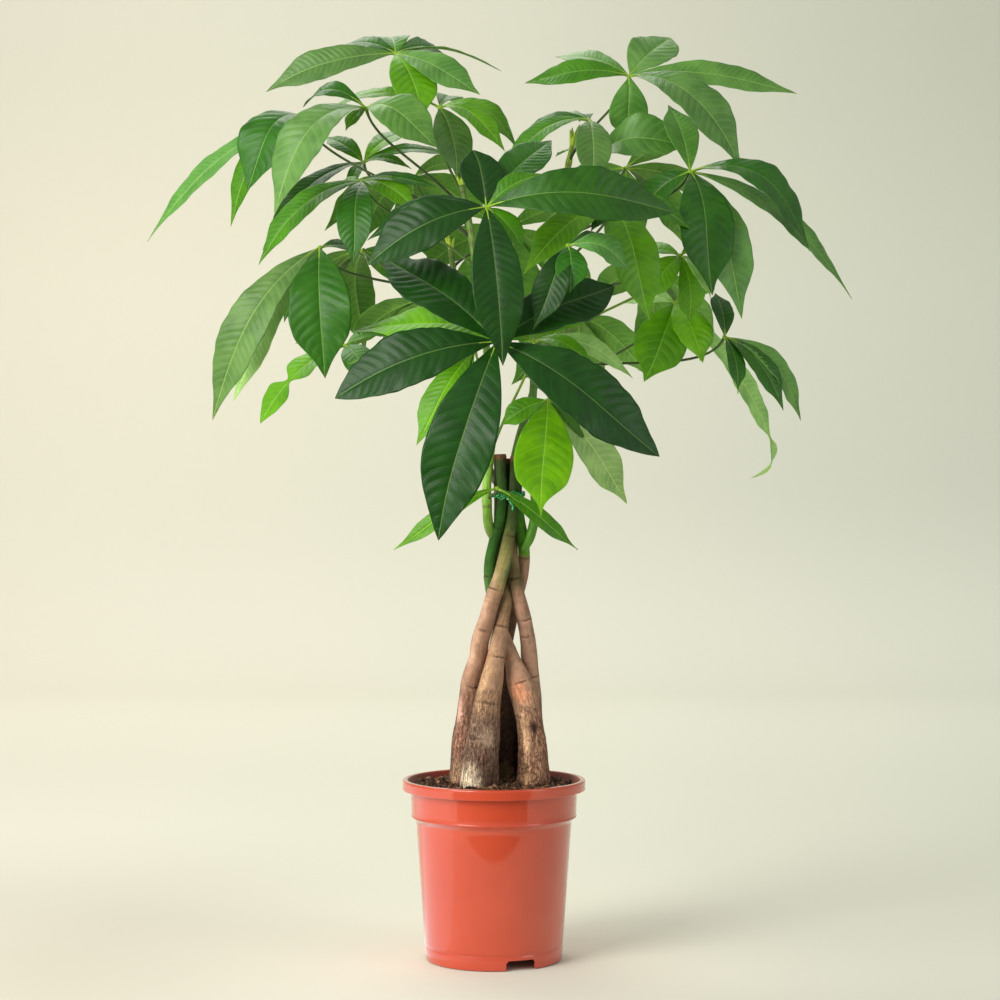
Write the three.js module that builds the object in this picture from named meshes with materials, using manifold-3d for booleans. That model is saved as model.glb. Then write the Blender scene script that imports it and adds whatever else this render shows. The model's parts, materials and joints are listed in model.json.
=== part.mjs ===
// A potted money tree: five Pachira strands braided together in a plastic nursery pot.
// Millimetres, +Z up. The origin is on the pot's axis, in the plane the pot stands on.
// -Y is the front, +X is on the right.

import * as THREE from 'three';
import { mergeVertices } from 'three/addons/utils/BufferGeometryUtils.js';
import Module from 'manifold-3d';

const wasm = await Module();
wasm.setup();

// ---------------------------------------------------------------- driving dimensions

const CLEARANCE = 0.3;

const POT = {
  height: 166,
  rimDiameter: 170,
  lipHeight: 9.4,
  bandDiameter: 153,
  bandFoot: 132,
  stepFoot: 127,
  bodyTopDiameter: 144.5,
  baseDiameter: 126.6,
  wall: 1.6,
  floorHeight: 10,
  edgeRound: 1.2,
  bandFlare: 0.8,
  lipCurl: 5,
  mouthDiameter: 161,
  sides: 30,
};

const NOTCH = { width: 28, height: 9, depth: 20, anglesDeg: [-67, 53, 173] };

const DRAIN = { diameter: 9, ringRadius: 40, count: 6, sides: 8 };

const SOIL = { level: 159, crown: 3.5, lump: 1.3, ringShares: [0.84, 0.62, 0.35], sides: 26 };

const STRAND_SIDES = 9;
const SHOOT_SIDES = 8;

const TIE = {
  centre: [13, 0],
  height: 430,
  radius: 15.1,
  wire: 0.9,
  sway: 1.2,
  turns: 14,
  sides: 5,
};

// The tie's twisted end on the right, from its place on the ring. The left end is like
// it and a little longer.
const TIE_END = [[-2, 0.2, 0.4], [1.2, -1.6, -2], [4, -2.4, -6], [5, -3.4, -12]];
const TIE_END_EXTRA = 6;

const BLADE = {
  thickness: 0.7,
  step: 36,
  leastSteps: 3,
  mostSteps: 6,
  root: 1.2,
  leastHalfWidth: 0.8,
  cup: 0.12,
  wave: 0.07,
  arch: 0.12,
};

// A blade's outline rises as a power of the distance from its root and falls as a power
// of the distance from its tip. A neck takes away a share of the width over a short way.
const OUTLINE = { rise: 1.3, fall: 0.85, peak: 0.2385, neckDepth: 0.85, neckReach: 0.07 };

const HUB_RADIUS = 4;

// A leaf stalk's leave, lift and arrive are shares of the way from the shoot to the hub.
const PETIOLE = {
  base: 1.9,
  shaft: 1.2,
  taper: 14,
  leave: 0.35,
  lift: 0.08,
  arrive: 0.3,
  sides: 4,
  steps: 5,
};

// The five strands, from under the soil to their cut tops.
// Each row is x, y, z and radius.
const STRANDS = {
  trunk_left: [
    [-26, 4, 118, 12.5], [-26.5, 4, 158, 15.3], [-26, 3, 180, 14.6], [-25.4, 1.5, 203, 13.3],
    [-23.2, 0, 221, 11.9], [-22.3, -2, 240, 10.5], [-20.6, -4, 258, 9.6], [-14.9, -7.5, 277, 8.8],
    [-12.5, -12, 295, 8.2], [-7, -14, 313, 7.7], [-1.8, -13, 332, 7.2], [4.5, -12.5, 350, 6.8],
    [9.6, -11.5, 369, 6.3], [13.2, -10, 388, 5.7], [17, -8.4, 408, 5.1], [18.1, -7, 430, 4.8],
    [19.6, -8.4, 450, 4.8], [19.8, -9.2, 465, 4.7],
  ],
  trunk_front: [
    [-13, -29, 118, 14], [-13.5, -30, 158, 17.7], [-13, -29, 180, 17.2], [-10, -26, 203, 15.4],
    [-7.8, -23, 221, 13.8], [-5.9, -21.5, 240, 12.2], [-2.2, -19, 258, 10.5], [1.5, -16.5, 277, 8.7],
    [4.5, -13.5, 295, 7.7], [7.6, -9, 313, 6.6], [10.6, -3.5, 332, 5.8], [8.2, 4.2, 350, 5.6],
    [5.6, 7.6, 369, 5.4], [5, 6.8, 388, 5.2], [4.9, 4.6, 408, 4.9], [4.7, 2.9, 430, 4.7],
    [4.6, 4.4, 450, 4.7], [3.9, 5, 467, 4.6],
  ],
  trunk_right: [
    [35.5, -9, 118, 12.5], [36.5, -9.5, 158, 15.6], [36.5, -9, 180, 14.3], [35, -9, 203, 12.6],
    [32.5, -8, 221, 11.9], [28.6, -7, 240, 12.4], [23, -5, 258, 11.2], [16.9, -1.5, 277, 7.6],
    [9.6, 2.4, 295, 6.8], [4.2, 5.4, 313, 6], [-0.8, 6.2, 332, 5.5], [-3.9, 1.4, 350, 5.4],
    [-3.4, -3, 369, 5.3], [0.6, -6, 388, 5.2], [5.8, -7.4, 408, 5], [7.9, -7, 430, 4.8],
    [6.8, -8.2, 450, 4.9], [6.2, -8.8, 467, 4.9],
  ],
  trunk_right_rear: [
    [36, 22, 118, 11], [36.5, 22, 158, 13], [36.5, 21.5, 180, 12.6], [36, 19.8, 203, 11.4],
    [35, 18.5, 221, 10.1], [35, 16.5, 240, 9.3], [34, 13, 258, 8.6], [33, 9.2, 277, 7.8],
    [31.5, 6, 295, 7.2], [28.2, 2.6, 313, 6.9], [23.6, -0.6, 332, 6.5], [19.5, -1.2, 350, 6.1],
    [17.4, 4, 369, 5.7], [16.2, 8.6, 388, 5.3], [14, 10, 408, 5], [13, 8.7, 430, 4.8],
    [13.4, 10.2, 450, 4.7], [13.8, 11, 463, 4.6],
  ],
  trunk_rear: [
    [9, 33, 118, 13], [10.5, 33, 158, 15.4], [10.5, 32, 180, 15.2], [9.5, 30, 203, 14.2],
    [8.4, 28, 221, 12.8], [7.2, 26, 240, 10.8], [6.8, 23.2, 258, 8.5], [8, 20.4, 277, 7.7],
    [11.6, 18.2, 295, 7], [15.6, 17.4, 313, 6.2], [20.6, 14.6, 332, 5.8], [25.5, 10.8, 350, 5.6],
    [28, 9.6, 369, 5.5], [27, 5, 388, 5.3], [23.8, 3.2, 408, 5], [21.3, 2.7, 430, 4.8],
    [22.8, 3.8, 450, 4.7], [23.4, 4.4, 462, 4.6],
  ],
};

// The green shoots that grow out of the strands' tops and carry the leaves.
// Each row is x, y, z and radius.
const SHOOTS = {
  shoot_left: [
    [1.5, -5, 386, 3.5], [-4.6, -8, 400, 4.5], [-6.4, -8.6, 420, 4.3], [-6.3, -8.4, 445, 4.2], [-2.4, -9.2, 481, 3.8],
    [-4, -9, 537, 3.6], [-13, -5, 611, 3.3], [-22, 0, 676, 3], [-30, 5, 718, 2.6],
  ],
  shoot_right: [
    [27, 0, 378, 3.5], [34, -2, 392, 4.4], [38, -3, 415, 4.2], [37, -3, 460, 4], [36, -3, 518, 3.7],
    [43, -2, 592, 3.4], [52, 0, 657, 3], [66, 4, 722, 2.6], [73, 8, 756, 2.3],
  ],
  shoot_rear_left: [
    [3, 6, 440, 3.2], [-4, 15, 452, 3.9], [-10, 28, 480, 3.7], [-22, 50, 535, 3.4],
    [-34, 72, 600, 3], [-42, 90, 668, 2.5],
  ],
  shoot_rear_right: [
    [14, 10, 438, 3.2], [17, 18, 452, 3.9], [24, 32, 485, 3.7], [42, 58, 545, 3.4],
    [60, 84, 612, 3], [72, 104, 690, 2.5],
  ],
};

// One row for each compound leaf: the hub where its leaflets meet, the way its upper
// face looks, the shoot it grows from with the height there, and its leaflets.
// A leaflet is its tip from the hub, its width and, where it isn't plain, its arch
// (how far its midrib bows towards the upper face) as a share of its length,
// its bend to the side, its roll about the midrib in degrees, and a neck where it is
// pinched.
const LEAVES = {
  leaf_top_left: {
    hub: [-93, 40, 848], facing: [0.05, -0.72, 0.7], root: ['shoot_left', 700],
    leaflets: [
      { tip: [-124, -5, -32], width: 34, arch: 0.1, roll: -18 },
      { tip: [-52, 30, 15], width: 24, arch: 0.12 },
      { tip: [-10, 58, 26], width: 36, arch: 0.12 },
      { tip: [50, 60, 6], width: 30, arch: 0.14 },
      { tip: [100, 5, -15], width: 20, arch: 0.12, roll: -40 },
      { tip: [79, -35, -46], width: 36, arch: 0.1, roll: 10 },
      { tip: [30, -42, -70], width: 44, arch: 0.12 },
    ],
  },
  leaf_top_right: {
    hub: [127, 20, 823], facing: [0.05, -0.72, 0.7], root: ['shoot_right', 742],
    leaflets: [
      { tip: [43, 45, 45], width: 48, arch: 0.08 },
      { tip: [-70, 60, 29], width: 26, arch: 0.1 },
      { tip: [-98, 5, -9], width: 30, arch: 0.14, roll: -12 },
      { tip: [158, 5, -17], width: 32, arch: 0.1, roll: 14 },
      { tip: [105, -45, -92], width: 46, arch: 0.2 },
      { tip: [-2, 15, -58], width: 38, arch: 0.14 },
    ],
  },
  leaf_upper_left: {
    hub: [-117, -30, 784], facing: [-0.1, -0.72, 0.68], root: ['shoot_left', 690],
    leaflets: [
      { tip: [63, -35, -43], width: 46, arch: 0.24 },
      { tip: [-82, -40, -102], width: 50, arch: 0.28 },
      { tip: [-62, 34, 6], width: 26, arch: 0.3 },
      { tip: [30, 60, -8], width: 24 },
      { tip: [-19, -12, -22], width: 15 },
    ],
  },
  leaf_upper_mid: {
    hub: [-51, 10, 792], facing: [0.05, -0.6, 0.8], root: ['shoot_left', 716],
    leaflets: [
      { tip: [73, 5, -39], width: 30, arch: 0.26 },
      { tip: [60, -30, -46], width: 28, arch: 0.2 },
      { tip: [-126, 52, -6], width: 26, arch: 0.16 },
      { tip: [14, 80, 16], width: 26 },
      { tip: [20, -24, -68], width: 38, arch: 0.14 },
    ],
  },
  leaf_left_inner: {
    hub: [-125, 60, 748], facing: [-0.1, -0.65, 0.75], root: ['shoot_left', 679],
    leaflets: [
      { tip: [-39, 25, 28], width: 24 },
      { tip: [-95, -30, -86], width: 28, arch: 0.16 },
      { tip: [44, 55, 38], width: 28 },
      { tip: [46, 0, -6], width: 14, arch: 0.18 },
      { tip: [86, 35, 12], width: 20 },
      { tip: [-12, -30, -30], width: 14 },
    ],
  },
  leaf_left: {
    hub: [-179, 20, 785], facing: [-0.15, -0.75, 0.65], root: ['shoot_left', 668],
    leaflets: [
      { tip: [-148, 0, -117], width: 26, arch: 0.12 },
      { tip: [-44, -45, -76], width: 54, arch: 0.3 },
      { tip: [-68, -15, -104], width: 30, arch: 0.2 },
      { tip: [18, 30, -16], width: 22, arch: 0.18 },
    ],
  },
  leaf_left_low: {
    hub: [-122, -10, 720], facing: [-0.15, -0.68, 0.72], root: ['shoot_left', 640],
    leaflets: [
      { tip: [-95, -25, -78], width: 34, arch: 0.16 },
      { tip: [-2, -45, -83], width: 34, arch: 0.2 },
      { tip: [70, -22, -10], width: 18 },
      { tip: [53, -30, -31], width: 24, arch: 0.16 },
      { tip: [-27, 35, -2], width: 12 },
    ],
  },
  leaf_outer_left: {
    hub: [-157, -60, 653], facing: [-0.08, -0.75, 0.66], root: ['shoot_left', 600],
    leaflets: [
      { tip: [-96, -10, -156], width: 44, arch: 0.18 },
      { tip: [-76, 20, -141], width: 34, arch: 0.14 },
      { tip: [8, -40, -120], width: 58, arch: 0.16 },
      { tip: [-34, 25, -66], width: 26 },
      { tip: [42, 60, -8], width: 24 },
    ],
  },
  leaf_low_left: {
    hub: [-141, 45, 572], facing: [-0.3, -0.5, 0.8], root: ['shoot_rear_left', 545],
    leaflets: [
      { tip: [-80, -20, -74], width: 42, neck: 0.58 },
      { tip: [-50, 40, 6], width: 28 },
      { tip: [30, -50, -40], width: 30 },
      { tip: [48, 30, 12], width: 30 },
    ],
  },
  leaf_front_high: {
    hub: [-6, -160, 676], facing: [0.02, -0.78, 0.62], root: ['shoot_left', 600],
    leaflets: [
      { tip: [-9, 15, 52], width: 38, arch: 0.1 },
      { tip: [162, 15, -4], width: 52, arch: 0.18, roll: 14 },
      { tip: [-103, -5, -48], width: 50, arch: 0.14, roll: -8 },
      { tip: [-104, 45, -19], width: 32 },
      { tip: [15, -40, -138], width: 44, arch: 0.14 },
      { tip: [58, 60, 67], width: 38, arch: 0.1 },
      { tip: [47, 8, 31], width: 24 },
      { tip: [33, -5, -36], width: 24 },
    ],
  },
  leaf_front: {
    hub: [3, -180, 559], facing: [0.05, -0.85, 0.52], root: ['shoot_left', 478],
    leaflets: [
      { tip: [-100, 60, 76], width: 56, arch: 0.1 },
      { tip: [-138, -5, -45], width: 54, arch: 0.12 },
      { tip: [-54, -35, -166], width: 60, arch: 0.1 },
      { tip: [134, -15, -101], width: 62, arch: 0.12 },
      { tip: [105, 50, 49], width: 52, arch: 0.12 },
      { tip: [-24, 40, 52], width: 34 },
    ],
  },
  leaf_front_mid: {
    hub: [36, -110, 565], facing: [0.05, -0.72, 0.69], root: ['shoot_left', 462],
    leaflets: [
      { tip: [87, 10, -33], width: 24, arch: 0.2 },
      { tip: [51, -25, -24], width: 18, arch: 0.2 },
      { tip: [-163, 45, 14], width: 46, arch: 0.08 },
      { tip: [-172, 80, -20], width: 36, arch: 0.1 },
      { tip: [60, 60, 30], width: 30 },
    ],
  },
  leaf_front_right: {
    hub: [106, -90, 689], facing: [0.1, -0.7, 0.7], root: ['shoot_right', 620],
    leaflets: [
      { tip: [-80, -30, -65], width: 36, arch: 0.16 },
      { tip: [27, -40, -108], width: 44, arch: 0.14 },
      { tip: [-20, -25, -28], width: 16 },
      { tip: [70, 5, -24], width: 24, arch: 0.18 },
      { tip: [-25, 45, 16], width: 22 },
    ],
  },
  leaf_right_inner: {
    hub: [64, -170, 642], facing: [0.1, -0.7, 0.7], root: ['shoot_right', 590],
    leaflets: [
      { tip: [-27, -20, -74], width: 30, arch: 0.14 },
      { tip: [2, -20, -42], width: 28, arch: 0.14 },
      { tip: [52, 8, -20], width: 32, arch: 0.24 },
      { tip: [40, 30, 4], width: 22 },
    ],
  },
  leaf_top_young: {
    hub: [88, -10, 776], facing: [0.05, -0.6, 0.8], root: ['shoot_right', 738],
    leaflets: [
      { tip: [-59, 15, -6], width: 18, arch: 0.14 },
      { tip: [-82, -25, -54], width: 26, arch: 0.2 },
      { tip: [3, -45, -66], width: 34, arch: 0.18 },
      { tip: [-6, 50, 8], width: 16 },
      { tip: [-44, 65, -6], width: 24, arch: 0.16 },
    ],
  },
  leaf_upper_right: {
    hub: [100, 28, 750], facing: [0.1, -0.65, 0.75], root: ['shoot_right', 700],
    leaflets: [
      { tip: [78, -30, 4], width: 54, arch: 0.24, roll: 24 },
      { tip: [50, 60, 6], width: 30 },
      { tip: [-40, 55, 8], width: 28 },
    ],
  },
  leaf_right: {
    hub: [180, -30, 726], facing: [0.2, -0.68, 0.7], root: ['shoot_right', 658],
    leaflets: [
      { tip: [108, -8, -74], width: 44, arch: 0.3 },
      { tip: [153, 25, -112], width: 32, arch: 0.12 },
      { tip: [41, -40, -138], width: 46, arch: 0.14 },
      { tip: [10, -55, -118], width: 52, arch: 0.16 },
      { tip: [-14, 50, 70], width: 32, arch: 0.06 },
      { tip: [-48, 20, -40], width: 34, arch: 0.14 },
    ],
  },
  leaf_right_young: {
    hub: [170, -40, 648], facing: [0.15, -0.68, 0.72], root: ['shoot_right', 560],
    leaflets: [
      { tip: [-33, -15, -44], width: 30, arch: 0.16 },
      { tip: [28, -10, -40], width: 22, arch: 0.2 },
      { tip: [10, 15, -60], width: 30, arch: 0.14 },
      { tip: [26, 25, 12], width: 14 },
      { tip: [-44, 30, 4], width: 26 },
    ],
  },
  leaf_right_low: {
    hub: [170, 20, 610], facing: [0.2, -0.7, 0.68], root: ['shoot_right', 505],
    leaflets: [
      { tip: [-28, -25, -76], width: 50, arch: 0.1 },
      { tip: [22, -34, -58], width: 42, arch: 0.12 },
      { tip: [-46, 30, 2], width: 34, arch: 0.14 },
      { tip: [40, 40, 22], width: 26 },
      { tip: [116, 85, -167], width: 34, arch: 0.08, neck: 0.76 },
    ],
  },
  leaf_outer_right: {
    hub: [214, -5, 576], facing: [0.3, -0.65, 0.7], root: ['shoot_right', 538],
    leaflets: [
      { tip: [53, -20, -68], width: 30, arch: 0.14 },
      { tip: [72, 15, -78], width: 32, arch: 0.2 },
      { tip: [10, -35, -54], width: 18 },
      { tip: [-6, 30, 44], width: 24 },
    ],
  },
  leaf_low_front: {
    hub: [49, -60, 515], facing: [0.1, -0.75, 0.65], root: ['shoot_right', 455],
    leaflets: [
      { tip: [-10, -35, -104], width: 54, arch: 0.1 },
      { tip: [-43, 0, -23], width: 26 },
      { tip: [48, 15, -42], width: 30 },
      { tip: [71, 20, -95], width: 40, arch: 0.1 },
    ],
  },
  leaf_low_centre: {
    hub: [3, -27, 436], facing: [0, -0.6, 0.8], root: ['shoot_left', 424],
    leaflets: [
      { tip: [-92, -10, -60], width: 18, arch: 0.14, roll: -20 },
      { tip: [72, -10, -58], width: 17, arch: 0.1, roll: 20 },
    ],
  },
  leaf_mid_left: {
    hub: [-17, -60, 560], facing: [-0.2, -0.7, 0.68], root: ['shoot_left', 500],
    leaflets: [
      { tip: [-49, -25, -87], width: 34, arch: 0.1 },
      { tip: [-23, 0, -41], width: 26 },
      { tip: [-70, 30, 20], width: 34 },
    ],
  },
  leaf_rear_high: {
    hub: [-80, 138, 745], facing: [-0.3, 0.5, 0.8], root: ['shoot_rear_left', 664],
    leaflets: [
      { tip: [-90, 20, -50], width: 36, arch: 0.16 },
      { tip: [-60, 75, -60], width: 44, arch: 0.16 },
      { tip: [10, 90, -75], width: 46, arch: 0.16 },
      { tip: [75, 50, -40], width: 38, arch: 0.16 },
      { tip: [55, -30, 10], width: 26 },
    ],
  },
  leaf_rear: {
    hub: [15, 180, 700], facing: [0.05, 0.7, 0.7], root: ['shoot_rear_left', 650],
    leaflets: [
      { tip: [-95, 5, -45], width: 38, arch: 0.14 },
      { tip: [-60, 35, -110], width: 46, arch: 0.14 },
      { tip: [20, 40, -130], width: 50, arch: 0.14 },
      { tip: [90, 20, -80], width: 44, arch: 0.14 },
      { tip: [80, -35, 20], width: 32 },
    ],
  },
  leaf_rear_right_high: {
    hub: [130, 145, 755], facing: [0.35, 0.5, 0.78], root: ['shoot_rear_right', 684],
    leaflets: [
      { tip: [105, 5, -50], width: 38, arch: 0.16 },
      { tip: [70, 70, -75], width: 44, arch: 0.16 },
      { tip: [-5, 80, -90], width: 46, arch: 0.16 },
      { tip: [-70, 60, -30], width: 36, arch: 0.16 },
      { tip: [50, -50, 20], width: 26 },
    ],
  },
  leaf_rear_right: {
    hub: [150, 125, 652], facing: [0.6, 0.4, 0.7], root: ['shoot_rear_right', 618],
    leaflets: [
      { tip: [70, 15, -70], width: 38, arch: 0.14 },
      { tip: [60, 75, -85], width: 46, arch: 0.14 },
      { tip: [0, 90, -95], width: 44, arch: 0.14 },
      { tip: [-55, 75, -20], width: 32 },
    ],
  },
  leaf_rear_left: {
    hub: [-130, 130, 672], facing: [-0.6, 0.4, 0.7], root: ['shoot_rear_left', 610],
    leaflets: [
      { tip: [-80, 10, -60], width: 36, arch: 0.14 },
      { tip: [-60, 75, -85], width: 46, arch: 0.14 },
      { tip: [0, 95, -90], width: 46, arch: 0.14 },
      { tip: [60, 75, -30], width: 32 },
    ],
  },
  leaf_rear_low_left: {
    hub: [-70, 150, 625], facing: [-0.3, 0.65, 0.7], root: ['shoot_rear_left', 545],
    leaflets: [
      { tip: [-80, 25, -50], width: 38, arch: 0.14 },
      { tip: [-30, 65, -80], width: 46, arch: 0.14 },
      { tip: [50, 55, -75], width: 40, arch: 0.14 },
      { tip: [65, 10, -10], width: 28 },
    ],
  },
  leaf_rear_low_right: {
    hub: [80, 150, 610], facing: [0.3, 0.65, 0.7], root: ['shoot_rear_right', 540],
    leaflets: [
      { tip: [-60, 35, -70], width: 38, arch: 0.14 },
      { tip: [10, 60, -95], width: 46, arch: 0.14 },
      { tip: [75, 30, -60], width: 40, arch: 0.14 },
    ],
  },
};

// ---------------------------------------------------------------- solids

// A closed geometry with shared corners as a solid.
function solidOf(geometry) {
  const plain = geometry.clone();
  plain.deleteAttribute('normal');
  plain.deleteAttribute('uv');
  const merged = mergeVertices(plain, 1e-4);
  const triangles = Uint32Array.from(merged.index.array);
  const positions = Float32Array.from(merged.attributes.position.array);
  if (signedVolume(positions, triangles) < 0) {
    for (let i = 0; i < triangles.length; i += 3) {
      [triangles[i + 1], triangles[i + 2]] = [triangles[i + 2], triangles[i + 1]];
    }
  }
  return new wasm.Manifold(new wasm.Mesh({ numProp: 3, vertProperties: positions, triVerts: triangles }));
}

function signedVolume(positions, triangles) {
  const a = new THREE.Vector3();
  const b = new THREE.Vector3();
  const c = new THREE.Vector3();
  let sum = 0;
  for (let i = 0; i < triangles.length; i += 3) {
    a.fromArray(positions, triangles[i] * 3);
    b.fromArray(positions, triangles[i + 1] * 3);
    c.fromArray(positions, triangles[i + 2] * 3);
    sum += a.dot(b.cross(c));
  }
  return sum / 6;
}

function geometryOf(solid) {
  const mesh = solid.getMesh();
  const geometry = new THREE.BufferGeometry();
  geometry.setAttribute('position', new THREE.BufferAttribute(Float32Array.from(mesh.vertProperties), 3));
  geometry.setIndex(Array.from(mesh.triVerts));
  geometry.computeVertexNormals();
  return geometry;
}

function united(solids) {
  return solids.reduce((sum, solid) => sum.add(solid));
}

// A closed tube through rings of points, each ring with the same number of points.
function loft(rings, closed = false) {
  const sides = rings[0].length;
  const positions = rings.flat().flatMap((p) => p.toArray());
  const index = [];
  const spans = closed ? rings.length : rings.length - 1;
  for (let i = 0; i < spans; i++) {
    const below = i * sides;
    const above = ((i + 1) % rings.length) * sides;
    for (let j = 0; j < sides; j++) {
      const k = (j + 1) % sides;
      index.push(below + j, below + k, above + k, below + j, above + k, above + j);
    }
  }
  if (!closed) {
    const last = (rings.length - 1) * sides;
    for (let j = 1; j < sides - 1; j++) {
      index.push(0, j + 1, j, last, last + j, last + j + 1);
    }
  }
  const geometry = new THREE.BufferGeometry();
  geometry.setAttribute('position', new THREE.Float32BufferAttribute(positions, 3));
  geometry.setIndex(index);
  return geometry;
}

// A round tube along a curve, with its radius given along the curve from 0 to 1.
function tube(curve, radiusAt, steps, sides, closed = false) {
  const frames = curve.computeFrenetFrames(steps, closed);
  const rings = [];
  for (let i = 0; i < (closed ? steps : steps + 1); i++) {
    const centre = curve.getPointAt(i / steps);
    const ring = [];
    for (let j = 0; j < sides; j++) {
      const angle = (2 * Math.PI * j) / sides;
      const radius = radiusAt(i / steps);
      ring.push(centre.clone()
        .addScaledVector(frames.normals[i], radius * Math.cos(angle))
        .addScaledVector(frames.binormals[i], radius * Math.sin(angle)));
    }
    rings.push(ring);
  }
  return loft(rings, closed);
}

// A stem through rows of x, y, z and radius, one ring at each row.
function stem(rows, sides, grow = 0) {
  const curve = new THREE.CatmullRomCurve3(rows.map((row) => new THREE.Vector3(...row)));
  const rings = rows.map((row, i) => {
    const centre = new THREE.Vector3(row[0], row[1], row[2]);
    const along = curve.getTangent(i / (rows.length - 1));
    const side = new THREE.Vector3(0, -1, 0).cross(along).normalize();
    const front = along.clone().cross(side);
    const end = i === 0 ? -grow : i === rows.length - 1 ? grow : 0;
    centre.addScaledVector(along, end);
    return Array.from({ length: sides }, (_, j) => {
      const angle = (2 * Math.PI * j) / sides;
      return centre.clone()
        .addScaledVector(side, (row[3] + grow) * Math.cos(angle))
        .addScaledVector(front, (row[3] + grow) * Math.sin(angle));
    });
  });
  return solidOf(loft(rings));
}

// The point of a stem's middle line at a height.
function pointAtHeight(rows, height) {
  let i = 0;
  while (i < rows.length - 2 && rows[i + 1][2] < height) i++;
  const share = (height - rows[i][2]) / (rows[i + 1][2] - rows[i][2]);
  return new THREE.Vector3(...rows[i]).lerp(new THREE.Vector3(...rows[i + 1]), share);
}

// ---------------------------------------------------------------- pot

function turned(profile, sides) {
  const points = profile.map(([r, z]) => new THREE.Vector2(r, z));
  return solidOf(new THREE.LatheGeometry(points, sides).rotateX(Math.PI / 2));
}

function potRadius(z) {
  const share = z / POT.stepFoot;
  return THREE.MathUtils.lerp(POT.baseDiameter, POT.bodyTopDiameter, share) / 2;
}

function makePot() {
  const rim = POT.rimDiameter / 2;
  const band = POT.bandDiameter / 2;
  const edge = POT.edgeRound;
  const lipFoot = POT.height - POT.lipHeight;
  const profile = [
    [0, POT.floorHeight - POT.wall],
    [potRadius(POT.floorHeight) - POT.wall, POT.floorHeight - POT.wall],
    [potRadius(0) - POT.wall, 0],
    [potRadius(0), 0],
    [potRadius(POT.stepFoot), POT.stepFoot],
    [band - edge, POT.bandFoot - edge],
    [band, POT.bandFoot],
    [band + POT.bandFlare, lipFoot + POT.wall],
    [rim - POT.wall - edge / 2, lipFoot + POT.lipCurl],
    [rim - POT.wall, lipFoot],
    [rim - edge / 3, lipFoot],
    [rim, lipFoot + edge / 2],
    [rim, POT.height - edge],
    [rim - edge, POT.height],
    [POT.mouthDiameter / 2, POT.height],
    [band, POT.height - POT.lipHeight],
    [band - POT.wall, POT.bandFoot + POT.wall],
    [potRadius(POT.stepFoot) - POT.wall, POT.stepFoot + POT.wall],
    [potRadius(POT.floorHeight) - POT.wall, POT.floorHeight],
    [0, POT.floorHeight],
    [0, POT.floorHeight - POT.wall],
  ];
  let pot = turned(profile, POT.sides);
  for (const angle of NOTCH.anglesDeg) {
    const block = new THREE.BoxGeometry(NOTCH.depth, NOTCH.width, 2 * NOTCH.height);
    block.translate(POT.baseDiameter / 2, 0, 0).rotateZ(THREE.MathUtils.degToRad(angle));
    pot = pot.subtract(solidOf(block));
  }
  for (let i = 0; i < DRAIN.count; i++) {
    const radius = DRAIN.diameter / 2;
    const hole = new THREE.CylinderGeometry(radius, radius, POT.floorHeight, DRAIN.sides);
    hole.rotateX(Math.PI / 2).translate(DRAIN.ringRadius, 0, POT.floorHeight);
    pot = pot.subtract(solidOf(hole.rotateZ((2 * Math.PI * i) / DRAIN.count)));
  }
  return pot;
}

// ---------------------------------------------------------------- soil

function soilHeight(x, y) {
  const radius = Math.hypot(x, y) / (POT.bandDiameter / 2);
  const lumps = Math.sin(x * 0.31 + 1.3) * Math.cos(y * 0.27) + 0.6 * Math.sin(x * 0.13 - y * 0.19);
  return SOIL.level + SOIL.crown * (1 - radius * radius) + SOIL.lump * lumps;
}

function makeSoil(strandHoles) {
  const gap = POT.wall + 2 * CLEARANCE;
  const edge = POT.bandDiameter / 2 - gap;
  const stepTop = potRadius(POT.stepFoot) - gap;
  const base = potRadius(POT.floorHeight) - gap;
  const profile = [
    [0, POT.floorHeight + CLEARANCE],
    [base, POT.floorHeight + CLEARANCE],
    [stepTop, POT.stepFoot + POT.wall],
    [edge, POT.bandFoot + 2 * POT.wall],
    [edge, SOIL.level - SOIL.crown],
    ...SOIL.ringShares.map((share) => [edge * share, SOIL.level]),
    [0, SOIL.level],
  ];
  const points = profile.map(([r, z]) => new THREE.Vector2(r, z));
  const geometry = new THREE.LatheGeometry(points, SOIL.sides).rotateX(Math.PI / 2);
  const position = geometry.attributes.position;
  for (let i = 0; i < position.count; i++) {
    if (position.getZ(i) === Math.fround(SOIL.level)) {
      position.setZ(i, soilHeight(position.getX(i), position.getY(i)));
    }
  }
  return strandHoles.reduce((soil, hole) => soil.subtract(hole), solidOf(geometry));
}

// ---------------------------------------------------------------- tie

function makeTie() {
  const centre = new THREE.Vector3(...TIE.centre, TIE.height);
  const ringPoints = Array.from({ length: TIE.turns }, (_, i) => {
    const angle = (2 * Math.PI * i) / TIE.turns;
    const spoke = new THREE.Vector3(Math.cos(angle), Math.sin(angle), 0);
    return centre.clone()
      .addScaledVector(spoke, TIE.radius)
      .add(new THREE.Vector3(0, 0, TIE.sway * Math.sin(angle)));
  });
  const ringCurve = new THREE.CatmullRomCurve3(ringPoints, true);
  const ring = tube(ringCurve, () => TIE.wire, TIE.turns, TIE.sides, true);
  const front = centre.clone().add(new THREE.Vector3(0, -TIE.radius, -TIE.sway));
  const ends = [1, -1].map((side) => {
    const points = TIE_END.map(([x, y, z]) => front.clone().add(new THREE.Vector3(x * side, y, z)));
    points.at(-1).z -= side < 0 ? TIE_END_EXTRA : 0;
    return solidOf(tube(new THREE.CatmullRomCurve3(points), () => TIE.wire, TIE_END.length, TIE.sides));
  });
  return united([solidOf(ring), ...ends]);
}

// ---------------------------------------------------------------- leaves

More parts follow.
